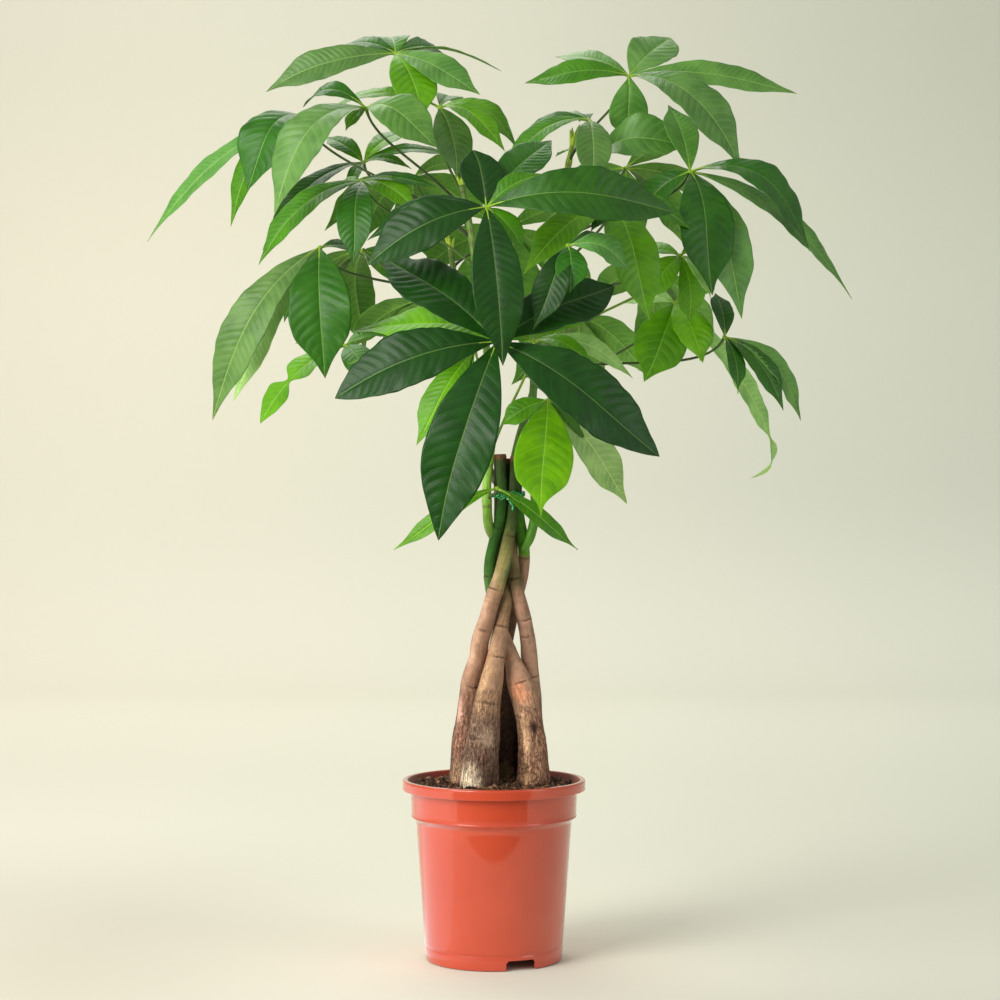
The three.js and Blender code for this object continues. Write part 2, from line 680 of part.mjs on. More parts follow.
// How wide a blade is along its midrib, as a share of its widest place.
function bladeOutline(t, neck) {
  const plain = (Math.pow(t, OUTLINE.rise) * Math.pow(1 - t, OUTLINE.fall)) / OUTLINE.peak;
  if (!neck) return plain;
  return plain * (1 - OUTLINE.neckDepth * Math.exp(-Math.pow((t - neck) / OUTLINE.neckReach, 2)));
}

// The frame of a leaflet: its chord, the side it spreads to and the way it faces.
function leafletFrame(leaf, leaflet) {
  const chord = new THREE.Vector3(...leaflet.tip);
  const along = chord.clone().normalize();
  const facing = new THREE.Vector3(...leaf.facing).normalize();
  facing.addScaledVector(along, -facing.dot(along)).normalize();
  facing.applyAxisAngle(along, THREE.MathUtils.degToRad(leaflet.roll ?? 0));
  return { chord, along, facing, side: along.clone().cross(facing) };
}

// The midrib rises first and then droops, so it bows most before its middle.
function midribPoint(leaf, leaflet, frame, t) {
  const bow = frame.chord.length() * Math.sin(Math.PI * Math.pow(t, 0.85));
  return new THREE.Vector3(...leaf.hub)
    .addScaledVector(frame.chord, t)
    .addScaledVector(frame.facing, (leaflet.arch ?? BLADE.arch) * bow)
    .addScaledVector(frame.side, (leaflet.bend ?? 0) * bow);
}

function makeLeaflet(leaf, leaflet, number) {
  const frame = leafletFrame(leaf, leaflet);
  const length = frame.chord.length();
  const steps = THREE.MathUtils.clamp(Math.round(length / BLADE.step), BLADE.leastSteps, BLADE.mostSteps);
  const rings = [];
  for (let i = 0; i <= steps; i++) {
    const t = THREE.MathUtils.lerp(BLADE.root / length, 1, Math.pow(i / steps, 0.9));
    const half = Math.max(BLADE.leastHalfWidth, (leaflet.width / 2) * bladeOutline(t, leaflet.neck));
    const middle = midribPoint(leaf, leaflet, frame, t);
    const ahead = midribPoint(leaf, leaflet, frame, t + 0.02);
    const normal = frame.side.clone().cross(ahead.sub(middle)).normalize();
    const wave = BLADE.wave * half * Math.sin(Math.PI * (i + number * 0.7));
    const lift = BLADE.cup * half;
    const left = middle.clone().addScaledVector(frame.side, -half).addScaledVector(normal, lift + wave);
    const right = middle.clone().addScaledVector(frame.side, half).addScaledVector(normal, lift - wave);
    const top = normal.clone().multiplyScalar(BLADE.thickness / 2);
    const across = [left, middle, right];
    rings.push([
      ...across.map((p) => p.clone().add(top)),
      ...across.reverse().map((p) => p.clone().sub(top)),
    ]);
  }
  return solidOf(bladeSkin(rings));
}

// A blade's rings run over its upper face and back under its lower one. Both faces are
// split along the same diagonals, so that a thin waved blade never crosses itself.
function bladeSkin(rings) {
  const positions = rings.flat().flatMap((p) => p.toArray());
  const index = [];
  const quad = (a, b, c, d) => index.push(a, b, c, a, c, d);
  for (let i = 0; i < rings.length - 1; i++) {
    const r = i * 6;
    const s = r + 6;
    for (const j of [0, 1]) {
      quad(r + j, s + j, s + j + 1, r + j + 1);
      const [u, v] = [5 - j, 4 - j];
      quad(r + u, r + v, s + v, s + u);
    }
    quad(r + 5, s + 5, s, r);
    quad(r + 2, s + 2, s + 3, r + 3);
  }
  const last = (rings.length - 1) * 6;
  quad(0, 1, 4, 5);
  quad(1, 2, 3, 4);
  quad(last, last + 5, last + 4, last + 1);
  quad(last + 1, last + 4, last + 3, last + 2);
  const geometry = new THREE.BufferGeometry();
  geometry.setAttribute('position', new THREE.Float32BufferAttribute(positions, 3));
  geometry.setIndex(index);
  return geometry;
}

// The leaf stalk: it leaves the shoot upwards and reaches the hub from under the leaf.
function petioleCurve(leaf) {
  const [shoot, height] = leaf.root;
  const start = pointAtHeight(SHOOTS[shoot], height);
  const hub = new THREE.Vector3(...leaf.hub);
  const facing = new THREE.Vector3(...leaf.facing).normalize();
  const reach = start.distanceTo(hub);
  const leave = hub.clone().sub(start).normalize().multiplyScalar(PETIOLE.leave * reach);
  leave.z += PETIOLE.lift * reach;
  const arrive = hub.clone().addScaledVector(facing, -PETIOLE.arrive * reach);
  return new THREE.CubicBezierCurve3(start, start.clone().add(leave), arrive, hub);
}

function makeLeaf(leaf, shoot) {
  const swell = PETIOLE.base - PETIOLE.shaft;
  const radiusAt = (t) => PETIOLE.shaft + swell * Math.exp(-t * PETIOLE.taper);
  const petiole = solidOf(tube(petioleCurve(leaf), radiusAt, PETIOLE.steps, PETIOLE.sides));
  const hub = solidOf(new THREE.OctahedronGeometry(HUB_RADIUS).translate(...leaf.hub));
  const blades = leaf.leaflets.map((leaflet, i) => makeLeaflet(leaf, leaflet, i));
  return united([petiole, hub, ...blades]).subtract(shoot);
}

// ---------------------------------------------------------------- the plant in its pot

const COLOURS = {
  pot: { color: '#c4472f', roughness: 0.3 },
  soil: { color: '#33241b', roughness: 0.95 },
  bark: { color: '#8a6a50', roughness: 0.8 },
  shoot: { color: '#5f8f34', roughness: 0.5 },
  leaf: { color: '#2f6b2c', roughness: 0.4 },
  tie: { color: '#1c8f4a', roughness: 0.25 },
};

function pieceOf(name, solid, look) {
  const material = new THREE.MeshStandardMaterial({ ...COLOURS[look], metalness: 0 });
  const mesh = new THREE.Mesh(geometryOf(solid), material);
  mesh.name = name;
  return mesh;
}

function makePlant() {
  const plant = new THREE.Group();
  const strandRows = Object.entries(STRANDS);
  const strandHoles = strandRows.map(([, rows]) => stem(rows, STRAND_SIDES, CLEARANCE));
  plant.add(pieceOf('pot', makePot(), 'pot'));
  plant.add(pieceOf('soil', makeSoil(strandHoles), 'soil'));
  for (const [name, rows] of strandRows) {
    plant.add(pieceOf(name, stem(rows, STRAND_SIDES), 'bark'));
  }
  plant.add(pieceOf('tie', makeTie(), 'tie'));
  for (const [name, rows] of Object.entries(SHOOTS)) {
    const shoot = strandHoles.reduce((sum, hole) => sum.subtract(hole), stem(rows, SHOOT_SIDES));
    plant.add(pieceOf(name, shoot, 'shoot'));
  }
  for (const [name, leaf] of Object.entries(LEAVES)) {
    const shoot = stem(SHOOTS[leaf.root[0]], SHOOT_SIDES, CLEARANCE);
    plant.add(pieceOf(name, makeLeaf(leaf, shoot), 'leaf'));
  }
  return plant;
}

export default makePlant();
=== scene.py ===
"""A braided money tree in a terracotta-coloured plastic pot, with its studio.

Sizes and places are in millimetres, with +Z up and -Y towards the viewer, and they are
turned into metres where a mesh is made. The tables of strands, shoots and leaves give
the same places as the part's own solids.
"""

import json
import math

import bmesh
import bpy
import numpy as np
from mathutils import Matrix, Vector, noise

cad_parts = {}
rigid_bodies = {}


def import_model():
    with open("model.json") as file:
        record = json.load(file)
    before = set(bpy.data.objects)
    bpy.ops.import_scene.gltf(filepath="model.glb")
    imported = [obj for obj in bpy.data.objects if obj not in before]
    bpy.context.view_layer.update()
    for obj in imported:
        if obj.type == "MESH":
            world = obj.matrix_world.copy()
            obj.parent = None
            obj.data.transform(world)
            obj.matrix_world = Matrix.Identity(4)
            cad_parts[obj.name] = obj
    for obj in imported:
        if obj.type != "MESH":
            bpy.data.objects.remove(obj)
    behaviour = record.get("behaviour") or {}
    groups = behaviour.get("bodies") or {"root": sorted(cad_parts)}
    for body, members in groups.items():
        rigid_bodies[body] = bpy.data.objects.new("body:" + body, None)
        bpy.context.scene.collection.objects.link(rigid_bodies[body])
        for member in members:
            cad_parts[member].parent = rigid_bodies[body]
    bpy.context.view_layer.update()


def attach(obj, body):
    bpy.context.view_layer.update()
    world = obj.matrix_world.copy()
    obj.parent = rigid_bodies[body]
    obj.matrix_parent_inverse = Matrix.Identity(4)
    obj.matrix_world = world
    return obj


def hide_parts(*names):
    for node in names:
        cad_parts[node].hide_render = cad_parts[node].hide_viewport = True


MM = 0.001
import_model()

# ---------------------------------------------------------------- sizes

POT = {
    "height": 166.0,
    "rim_radius": 85.0,
    "mouth_radius": 80.0,
    "lip_height": 9.4,
    "band_radius": 76.5,
    "band_foot": 132.0,
    "step_foot": 127.0,
    "body_top_radius": 72.25,
    "base_radius": 63.3,
    "wall": 1.6,
    "floor_height": 10.0,
    "edge_round": 1.2,
    "band_flare": 0.8,
    "lip_curl": 5.0,
    "base_line": 13.0,
    "sides": 180,
    "sharp_above": 32,
}
NOTCH = {"depth": 20.0, "width": 28.0, "height": 9.0, "round": 1.6, "angles": (-67, 53, 173)}
DRAIN = {"radius": 4.5, "ring_radius": 40.0, "count": 6, "depth": 10.0}
SOIL = {"level": 159.0, "crown": 3.5, "lump": 1.3, "gap": 0.6, "crumbs": 1500, "fibres": 170}
TIE = {
    "centre": (13.0, 0.0),
    "height": 430.0,
    "radius": 14.6,
    "strip": 1.5,
    "end_strip": 1.2,
    "twist": 1.15,
    "thinness": 0.16,
    "core": 0.42,
}
# The loose ends of the tie's strip, from its front.
TIE_ENDS = [
    [(-2, 0.2, 0.4), (1.2, -1.6, -2), (4, -2.4, -6), (6.2, -2.6, -9), (6.4, -3.2, -14)],
    [(2, 0.2, 0.4), (-1.2, -1.8, -1.6), (-4.2, -2.8, -3), (-7, -3.0, -1.4), (-9.2, -2.4, 1.6)],
    [(-3, 0.4, 0.6), (0.4, -2.0, 0.8), (3.8, -2.2, 2.2), (6.6, -1.6, 3.4), (8.8, -1.2, 3.2)],
]
CAMERA = {"distance": 2066.0, "height": 425.0, "side": 5.6, "lens": 80, "sensor": 36}
# The sweep behind the plant, in metres.
SWEEP = {"bend": 2.8, "radius": 1.2, "front": -7.0, "side": 7.0, "top": 5.0, "below_pot": 0.0006}

BLADE = {
    "thickness": 0.36,
    "root": 1.2,
    "cup": 0.12,
    "curl": 0.35,
    "lean": 0.16,
    "wave": 0.035,
    "wave_length": 36,
    "arch": 0.12,
    "droop": 0.85,
    "drip_from_to": (0.72, 0.95),
    "hook_reach": 0.05,
    "least_half_width": 0.35,
    "rib_half_width": 0.7,
    "rib": 1.1,
    "groove": 0.3,
    "quilt": 0.042,
    "fewest_veins": 6,
    "least_vein_spacing": 5.4,
    "vein_spacing_share": 0.17,
    "vein_sweep": 0.72,
    "rows_per_vein": 4,
    "pattern_step": 37.0,
}
OUTLINE = {"rise": 1.15, "fall": 0.93, "peak": 0.2394, "neck_depth": 0.85, "neck_reach": 0.07}
HUB = {
    "radius": 2.5,
    "flatness": 0.62,
    "rings": 7,
    "sides": 14,
    "stub_length": 15,
    "stub_share": 0.16,
    "stub_radii": (1.35, 0.7),
    "stub_depth": 0.7,
}
PETIOLE = {
    "base": 1.9,
    "shaft": 1.2,
    "taper": 14.0,
    "swelling": 0.7,
    "swelling_reach": 0.045,
    "leave": 0.35,
    "lift": 0.08,
    "arrive": 0.3,
}

# The five strands, from under the soil to their cut tops: x, y, z and radius.
STRANDS = {
    "trunk_left": [
        (-26, 4, 118, 12.5), (-26.5, 4, 158, 15.3), (-26, 3, 180, 14.6), (-25.4, 1.5, 203, 13.3),
        (-23.2, 0, 221, 11.9), (-22.3, -2, 240, 10.5), (-20.6, -4, 258, 9.6), (-14.9, -7.5, 277, 8.8),
        (-12.5, -12, 295, 8.2), (-7, -14, 313, 7.7), (-1.8, -13, 332, 7.2), (4.5, -12.5, 350, 6.8),
        (9.6, -11.5, 369, 6.3), (13.2, -10, 388, 5.7), (17, -8.4, 408, 5.1), (18.1, -7, 430, 4.8),
        (19.6, -8.4, 450, 4.8), (19.8, -9.2, 465, 4.7),
    ],
    "trunk_front": [
        (-13, -29, 118, 14), (-13.5, -30, 158, 17.7), (-13, -29, 180, 17.2), (-10, -26, 203, 15.4),
        (-7.8, -23, 221, 13.8), (-5.9, -21.5, 240, 12.2), (-2.2, -19, 258, 10.5), (1.5, -16.5, 277, 8.7),
        (4.5, -13.5, 295, 7.7), (7.6, -9, 313, 6.6), (10.6, -3.5, 332, 5.8), (8.2, 4.2, 350, 5.6),
        (5.6, 7.6, 369, 5.4), (5, 6.8, 388, 5.2), (4.9, 4.6, 408, 4.9), (4.7, 2.9, 430, 4.7),
        (4.6, 4.4, 450, 4.7), (3.9, 5, 467, 4.6),
    ],
    "trunk_right": [
        (35.5, -9, 118, 12.5), (36.5, -9.5, 158, 15.6), (36.5, -9, 180, 14.3), (35, -9, 203, 12.6),
        (32.5, -8, 221, 11.9), (28.6, -7, 240, 12.4), (23, -5, 258, 11.2), (16.9, -1.5, 277, 7.6),
        (9.6, 2.4, 295, 6.8), (4.2, 5.4, 313, 6), (-0.8, 6.2, 332, 5.5), (-3.9, 1.4, 350, 5.4),
        (-3.4, -3, 369, 5.3), (0.6, -6, 388, 5.2), (5.8, -7.4, 408, 5), (7.9, -7, 430, 4.8),
        (6.8, -8.2, 450, 4.9), (6.2, -8.8, 467, 4.9),
    ],
    "trunk_right_rear": [
        (36, 22, 118, 11), (36.5, 22, 158, 13), (36.5, 21.5, 180, 12.6), (36, 19.8, 203, 11.4),
        (35, 18.5, 221, 10.1), (35, 16.5, 240, 9.3), (34, 13, 258, 8.6), (33, 9.2, 277, 7.8),
        (31.5, 6, 295, 7.2), (28.2, 2.6, 313, 6.9), (23.6, -0.6, 332, 6.5), (19.5, -1.2, 350, 6.1),
        (17.4, 4, 369, 5.7), (16.2, 8.6, 388, 5.3), (14, 10, 408, 5), (13, 8.7, 430, 4.8),
        (13.4, 10.2, 450, 4.7), (13.8, 11, 463, 4.6),
    ],
    "trunk_rear": [
        (9, 33, 118, 13), (10.5, 33, 158, 15.4), (10.5, 32, 180, 15.2), (9.5, 30, 203, 14.2),
        (8.4, 28, 221, 12.8), (7.2, 26, 240, 10.8), (6.8, 23.2, 258, 8.5), (8, 20.4, 277, 7.7),
        (11.6, 18.2, 295, 7), (15.6, 17.4, 313, 6.2), (20.6, 14.6, 332, 5.8), (25.5, 10.8, 350, 5.6),
        (28, 9.6, 369, 5.5), (27, 5, 388, 5.3), (23.8, 3.2, 408, 5), (21.3, 2.7, 430, 4.8),
        (22.8, 3.8, 450, 4.7), (23.4, 4.4, 462, 4.6),
    ],
}

# The green shoots that grow out of the strands' tops: x, y, z and radius.
SHOOTS = {
    "shoot_left": [
        (1.5, -5, 386, 3.5), (-4.6, -8, 400, 4.5), (-6.4, -8.6, 420, 4.3), (-6.3, -8.4, 445, 4.2),
        (-2.4, -9.2, 481, 3.8), (-4, -9, 537, 3.6), (-13, -5, 611, 3.3), (-22, 0, 676, 3),
        (-30, 5, 718, 2.6),
    ],
    "shoot_right": [
        (27, 0, 378, 3.5), (34, -2, 392, 4.4), (38, -3, 415, 4.2), (37, -3, 460, 4), (36, -3, 518, 3.7),
        (43, -2, 592, 3.4), (52, 0, 657, 3), (66, 4, 722, 2.6), (73, 8, 756, 2.3),
    ],
    "shoot_rear_left": [
        (3, 6, 440, 3.2), (-4, 15, 452, 3.9), (-10, 28, 480, 3.7), (-22, 50, 535, 3.4), (-34, 72, 600, 3),
        (-42, 90, 668, 2.5),
    ],
    "shoot_rear_right": [
        (14, 10, 438, 3.2), (17, 18, 452, 3.9), (24, 32, 485, 3.7), (42, 58, 545, 3.4), (60, 84, 612, 3),
        (72, 104, 690, 2.5),
    ],
}


def blade(x, y, z, width, arch=BLADE["arch"], tone=None, drip=0.5, roll=0.0, neck=None, curl=0.0, hook=None):
    """A leaflet: its tip from the hub, its width and how it bows, tapers, rolls and narrows."""
    tip = np.array([x, y, z], float)
    size = {"length": np.linalg.norm(tip), "width": width, "arch": arch, "roll": roll}
    ends = {"drip": drip, "neck": neck, "curl": curl, "hook": hook}
    return {"tip": tip, "tone": tone, **size, **ends}


def leaf(hub, facing, root, tone, blades):
    """A compound leaf: its hub, the way its upper face looks, its root and its leaflets."""
    facing = np.array(facing, float)
    facing = facing / np.linalg.norm(facing)
    return {"hub": np.array(hub, float), "facing": facing, "root": root, "tone": tone, "blades": blades}


LEAVES = {
    "leaf_top_left": leaf((-93, 40, 848), (0.05, -0.72, 0.7), ("shoot_left", 700), "soft", [
        blade(-124, -5, -32, 34, 0.1, "grey", roll=-18), blade(-52, 30, 15, 24, tone="deep"),
        blade(-10, 58, 26, 36, tone="mid"), blade(50, 60, 6, 30, 0.14, "deep"),
        blade(100, 5, -15, 20, roll=-40), blade(79, -35, -46, 36, 0.1, roll=10),
        blade(30, -42, -70, 44, tone="fresh"),
    ]),
    "leaf_top_right": leaf((127, 20, 823), (0.05, -0.72, 0.7), ("shoot_right", 742), "soft", [
        blade(43, 45, 45, 48, 0.08, "grey", drip=0.2), blade(-70, 60, 29, 26, 0.1),
        blade(-98, 5, -9, 30, 0.14, "mid", roll=-12), blade(158, 5, -17, 32, 0.1, roll=14),
        blade(105, -45, -92, 46, 0.2, "grey"), blade(-2, 15, -58, 38, 0.14),
    ]),
    "leaf_upper_left": leaf((-117, -30, 784), (-0.1, -0.72, 0.68), ("shoot_left", 690), "deep", [
        blade(63, -35, -43, 46, 0.24, "soft", drip=0.3), blade(-82, -40, -102, 50, 0.28, "grey"),
        blade(-62, 34, 6, 26, 0.3), blade(30, 60, -8, 24), blade(-19, -12, -22, 15, tone="fresh"),
    ]),
    "leaf_upper_mid": leaf((-51, 10, 792), (0.05, -0.6, 0.8), ("shoot_left", 716), "fresh", [
        blade(73, 5, -39, 30, 0.26), blade(60, -30, -46, 28, 0.2), blade(-126, 52, -6, 26, 0.16),
        blade(14, 80, 16, 26), blade(20, -24, -68, 38, 0.14, "grey"),
    ]),
    "leaf_left_inner": leaf((-125, 60, 748), (-0.1, -0.65, 0.75), ("shoot_left", 679), "mid", [
        blade(-39, 25, 28, 24), blade(-95, -30, -86, 28, 0.16, "deep"),
        blade(44, 55, 38, 28, tone="bright"), blade(46, 0, -6, 14, 0.18), blade(86, 35, 12, 20),
        blade(-12, -30, -30, 14),
    ]),
    "leaf_left": leaf((-179, 20, 785), (-0.15, -0.75, 0.65), ("shoot_left", 668), "deep", [
        blade(-148, 0, -117, 26, tone="soft", drip=0.7, hook=-0.15),
        blade(-44, -45, -76, 54, 0.3, drip=0.3), blade(-68, -15, -104, 30, 0.2, "mid"),
        blade(18, 30, -16, 22, 0.18),
    ]),
    "leaf_left_low": leaf((-122, -10, 720), (-0.15, -0.68, 0.72), ("shoot_left", 640), "fresh", [
        blade(-95, -25, -78, 34, 0.16, "mid"), blade(-2, -45, -83, 34, 0.2, "deep"),
        blade(70, -22, -10, 18, tone="deep"), blade(53, -30, -31, 24, 0.16), blade(-27, 35, -2, 12),
    ]),
    "leaf_outer_left": leaf((-157, -60, 653), (-0.08, -0.75, 0.66), ("shoot_left", 600), "deep", [
        blade(-96, -10, -156, 44, 0.18, "grey"), blade(-76, 20, -141, 34, 0.14, "pale"),
        blade(8, -40, -120, 58, 0.16, drip=0.45), blade(-34, 25, -66, 26), blade(42, 60, -8, 24),
    ]),
    "leaf_low_left": leaf((-141, 45, 572), (-0.3, -0.5, 0.8), ("shoot_rear_left", 545), "pale", [
        blade(-80, -20, -74, 42, tone="fresh", drip=0.1, neck=0.58), blade(-50, 40, 6, 28, tone="soft"),
        blade(30, -50, -40, 30, tone="soft"), blade(48, 30, 12, 30, tone="mid"),
    ]),
    "leaf_front_high": leaf((-6, -160, 676), (0.02, -0.78, 0.62), ("shoot_left", 600), "dark", [
        blade(-9, 15, 52, 38, 0.1, drip=0.1), blade(162, 15, -4, 52, 0.18, "deep", drip=0.1, roll=14),
        blade(-103, -5, -48, 50, 0.14, drip=0.3, roll=-8), blade(-104, 45, -19, 32),
        blade(15, -40, -138, 44, 0.14, drip=0.35), blade(58, 60, 67, 38, 0.1, "deep", drip=0.3),
        blade(47, 8, 31, 24, tone="mid"), blade(33, -5, -36, 24, tone="mid"),
    ]),
    "leaf_front": leaf((3, -180, 559), (0.05, -0.85, 0.52), ("shoot_left", 478), "dark", [
        blade(-100, 60, 76, 56, 0.1, drip=0.1), blade(-138, -5, -45, 54, drip=0.05),
        blade(-54, -35, -166, 60, 0.1, drip=0.2), blade(134, -15, -101, 62, drip=0.1),
        blade(105, 50, 49, 52, drip=0.1), blade(-24, 40, 52, 34, tone="grey"),
    ]),
    "leaf_front_mid": leaf((36, -110, 565), (0.05, -0.72, 0.69), ("shoot_left", 462), "bright", [
        blade(87, 10, -33, 24, 0.2, "pale"), blade(51, -25, -24, 18, 0.2, "fresh"),
        blade(-163, 45, 14, 46, 0.08), blade(-172, 80, -20, 36, 0.1), blade(60, 60, 30, 30),
    ]),
    "leaf_front_right": leaf((106, -90, 689), (0.1, -0.7, 0.7), ("shoot_right", 620), "deep", [
        blade(-80, -30, -65, 36, 0.16, "fresh"), blade(27, -40, -108, 44, 0.14, "fresh"),
        blade(-20, -25, -28, 16), blade(70, 5, -24, 24, 0.18, "mid"), blade(-25, 45, 16, 22),
    ]),
    "leaf_right_inner": leaf((64, -170, 642), (0.1, -0.7, 0.7), ("shoot_right", 590), "deep", [
        blade(-27, -20, -74, 30, 0.14, "dark"), blade(2, -20, -42, 28, 0.14),
        blade(52, 8, -20, 32, 0.24, "soft"), blade(40, 30, 4, 22),
    ]),
    "leaf_top_young": leaf((88, -10, 776), (0.05, -0.6, 0.8), ("shoot_right", 738), "deep", [
        blade(-59, 15, -6, 18, 0.14), blade(-82, -25, -54, 26, 0.2, "mid"),
        blade(3, -45, -66, 34, 0.18, "grey"), blade(-6, 50, 8, 16), blade(-44, 65, -6, 24, 0.16, "grey"),
    ]),
    "leaf_upper_right": leaf((100, 28, 750), (0.1, -0.65, 0.75), ("shoot_right", 700), "pale", [
        blade(78, -30, 4, 54, 0.24, "soft", drip=0.1, roll=24, curl=0.5), blade(50, 60, 6, 30, tone="mid"),
        blade(-40, 55, 8, 28, tone="soft"),
    ]),
    "leaf_right": leaf((180, -30, 726), (0.2, -0.68, 0.7), ("shoot_right", 658), "deep", [
        blade(108, -8, -74, 44, 0.3, drip=0.6), blade(153, 25, -112, 32, tone="soft", drip=0.7),
        blade(41, -40, -138, 46, 0.14, "soft"), blade(10, -55, -118, 52, 0.16),
        blade(-14, 50, 70, 32, 0.06, "soft"), blade(-48, 20, -40, 34, 0.14),
    ]),
    "leaf_right_young": leaf((170, -40, 648), (0.15, -0.68, 0.72), ("shoot_right", 560), "bright", [
        blade(-33, -15, -44, 30, 0.16, drip=0.8), blade(28, -10, -40, 22, 0.2, "pale", drip=0.8),
        blade(10, 15, -60, 30, 0.14), blade(26, 25, 12, 14), blade(-44, 30, 4, 26),
    ]),
    "leaf_right_low": leaf((170, 20, 610), (0.2, -0.7, 0.68), ("shoot_right", 505), "lime", [
        blade(-28, -25, -76, 50, 0.1, "fresh"), blade(22, -34, -58, 42),
        blade(-46, 30, 2, 34, 0.14, "pale"), blade(40, 40, 22, 26),
        blade(116, 85, -167, 34, 0.08, "pale", drip=-0.3, neck=0.76, hook=3.2),
    ]),
    "leaf_outer_right": leaf((214, -5, 576), (0.3, -0.65, 0.7), ("shoot_right", 538), "mid", [
        blade(53, -20, -68, 30, 0.14, "deep"), blade(72, 15, -78, 32, 0.2, "soft"),
        blade(10, -35, -54, 18, tone="deep", drip=0.8), blade(-6, 30, 44, 24, tone="deep"),
    ]),
    "leaf_low_front": leaf((49, -60, 515), (0.1, -0.75, 0.65), ("shoot_right", 455), "lime", [
        blade(-10, -35, -104, 54, 0.1, drip=0.75), blade(-43, 0, -23, 26, tone="fresh"),
        blade(48, 15, -42, 30, tone="mid"), blade(71, 20, -95, 40, 0.1, "pale"),
    ]),
    "leaf_low_centre": leaf((3, -27, 436), (0, -0.6, 0.8), ("shoot_left", 424), "deep", [
        blade(-92, -10, -60, 18, 0.14, "fresh", roll=-20),
        blade(72, -10, -58, 17, 0.1, "mid", drip=0.7, roll=20),
    ]),
    "leaf_mid_left": leaf((-17, -60, 560), (-0.2, -0.7, 0.68), ("shoot_left", 500), "bright", [
        blade(-49, -25, -87, 34, 0.1, "fresh"), blade(-23, 0, -41, 26), blade(-70, 30, 20, 34),
    ]),
    "leaf_rear_high": leaf((-80, 138, 745), (-0.3, 0.5, 0.8), ("shoot_rear_left", 664), "mid", [
        blade(-90, 20, -50, 36, 0.16), blade(-60, 75, -60, 44, 0.16), blade(10, 90, -75, 46, 0.16),
        blade(75, 50, -40, 38, 0.16), blade(55, -30, 10, 26),
    ]),
    "leaf_rear": leaf((15, 180, 700), (0.05, 0.7, 0.7), ("shoot_rear_left", 650), "mid", [
        blade(-95, 5, -45, 38, 0.14), blade(-60, 35, -110, 46, 0.14), blade(20, 40, -130, 50, 0.14),
        blade(90, 20, -80, 44, 0.14), blade(80, -35, 20, 32),
    ]),
    "leaf_rear_right_high": leaf((130, 145, 755), (0.35, 0.5, 0.78), ("shoot_rear_right", 684), "mid", [
        blade(105, 5, -50, 38, 0.16), blade(70, 70, -75, 44, 0.16), blade(-5, 80, -90, 46, 0.16),
        blade(-70, 60, -30, 36, 0.16), blade(50, -50, 20, 26),
    ]),
    "leaf_rear_right": leaf((150, 125, 652), (0.6, 0.4, 0.7), ("shoot_rear_right", 618), "mid", [
        blade(70, 15, -70, 38, 0.14), blade(60, 75, -85, 46, 0.14), blade(0, 90, -95, 44, 0.14),
        blade(-55, 75, -20, 32),
    ]),
    "leaf_rear_left": leaf((-130, 130, 672), (-0.6, 0.4, 0.7), ("shoot_rear_left", 610), "mid", [
        blade(-80, 10, -60, 36, 0.14), blade(-60, 75, -85, 46, 0.14), blade(0, 95, -90, 46, 0.14),
        blade(60, 75, -30, 32),
    ]),
    "leaf_rear_low_left": leaf((-70, 150, 625), (-0.3, 0.65, 0.7), ("shoot_rear_left", 545), "mid", [
        blade(-80, 25, -50, 38, 0.14), blade(-30, 65, -80, 46, 0.14), blade(50, 55, -75, 40, 0.14),
        blade(65, 10, -10, 28),
    ]),
    "leaf_rear_low_right": leaf((80, 150, 610), (0.3, 0.65, 0.7), ("shoot_rear_right", 540), "mid", [
        blade(-60, 35, -70, 38, 0.14), blade(10, 60, -95, 46, 0.14), blade(75, 30, -60, 40, 0.14),
    ]),
}

# ---------------------------------------------------------------- colours


def linear(red, green, blue):
    """A screen colour from 0 to 255 as the linear colour that a shader takes."""
    shares = np.array([red, green, blue], float) / 255
    return np.where(shares <= 0.04045, shares / 12.92, ((shares + 0.055) / 1.055) ** 2.4)


# Several tones are partly painted light over the leaves' own greens: soft, grey and pale stand partly for
# painted sheen, and bright and lime partly for painted light shining through the leaf from behind.
TONES = {
    "dark": linear(18, 63, 3),
    "deep": linear(40, 94, 10),
    "mid": linear(64, 122, 12),
    "fresh": linear(88, 148, 10),
    "bright": linear(98, 162, 4),
    "lime": linear(112, 180, 2),
    "soft": linear(88, 138, 60),
    "pale": linear(156, 196, 112),
    "grey": linear(86, 128, 60),
}
STALK_GREEN = linear(84, 118, 40)
STALK_DARK = linear(48, 56, 30)
STALK_YOUNG = linear(150, 190, 44)
# BUD_GREEN is partly painted light: the young leaflets' yellow-green, made lighter than their own colour
# where they sit in shade.
BUD_GREEN = linear(196, 228, 76)
PEAT_CRUMB = np.array([1.0, 0.95, 0.9])
PEAT_FIBRE = np.array([3.6, 2.8, 2.1])
CUT_WOOD = linear(112, 74, 52)
CUT_RINGS = np.array([linear(150, 112, 84), linear(176, 134, 100), linear(84, 50, 34), linear(50, 30, 20)])
SCAR_LINE = linear(52, 28, 18)
JOINT_BROWN = linear(96, 74, 44)

# ---------------------------------------------------------------- mesh helpers


def unit(vectors):
    """Vectors at length 1."""
    return vectors / np.linalg.norm(vectors, axis=-1, keepdims=True)


def stacked(*values):
    """Arrays brought to one shape and put side by side along a last axis."""
    return np.stack(np.broadcast_arrays(*values), axis=-1)


def bell(value):
    """A bump that is 1 at zero and fades to both sides."""
    return np.exp(-(value**2))


def blend(first, second, share):
    """What lies between two values at a share of the way."""
    return first * (1 - share) + second * share


def soft_step(value, low, high):
    """A smooth step from 0 at low to 1 at high."""
    share = np.clip((value - low) / (high - low), 0, 1)
    return share * share * (3 - 2 * share)


def circle(sides):
    """Angles evenly round a circle."""
    return np.linspace(0, 2 * math.pi, sides, endpoint=False)


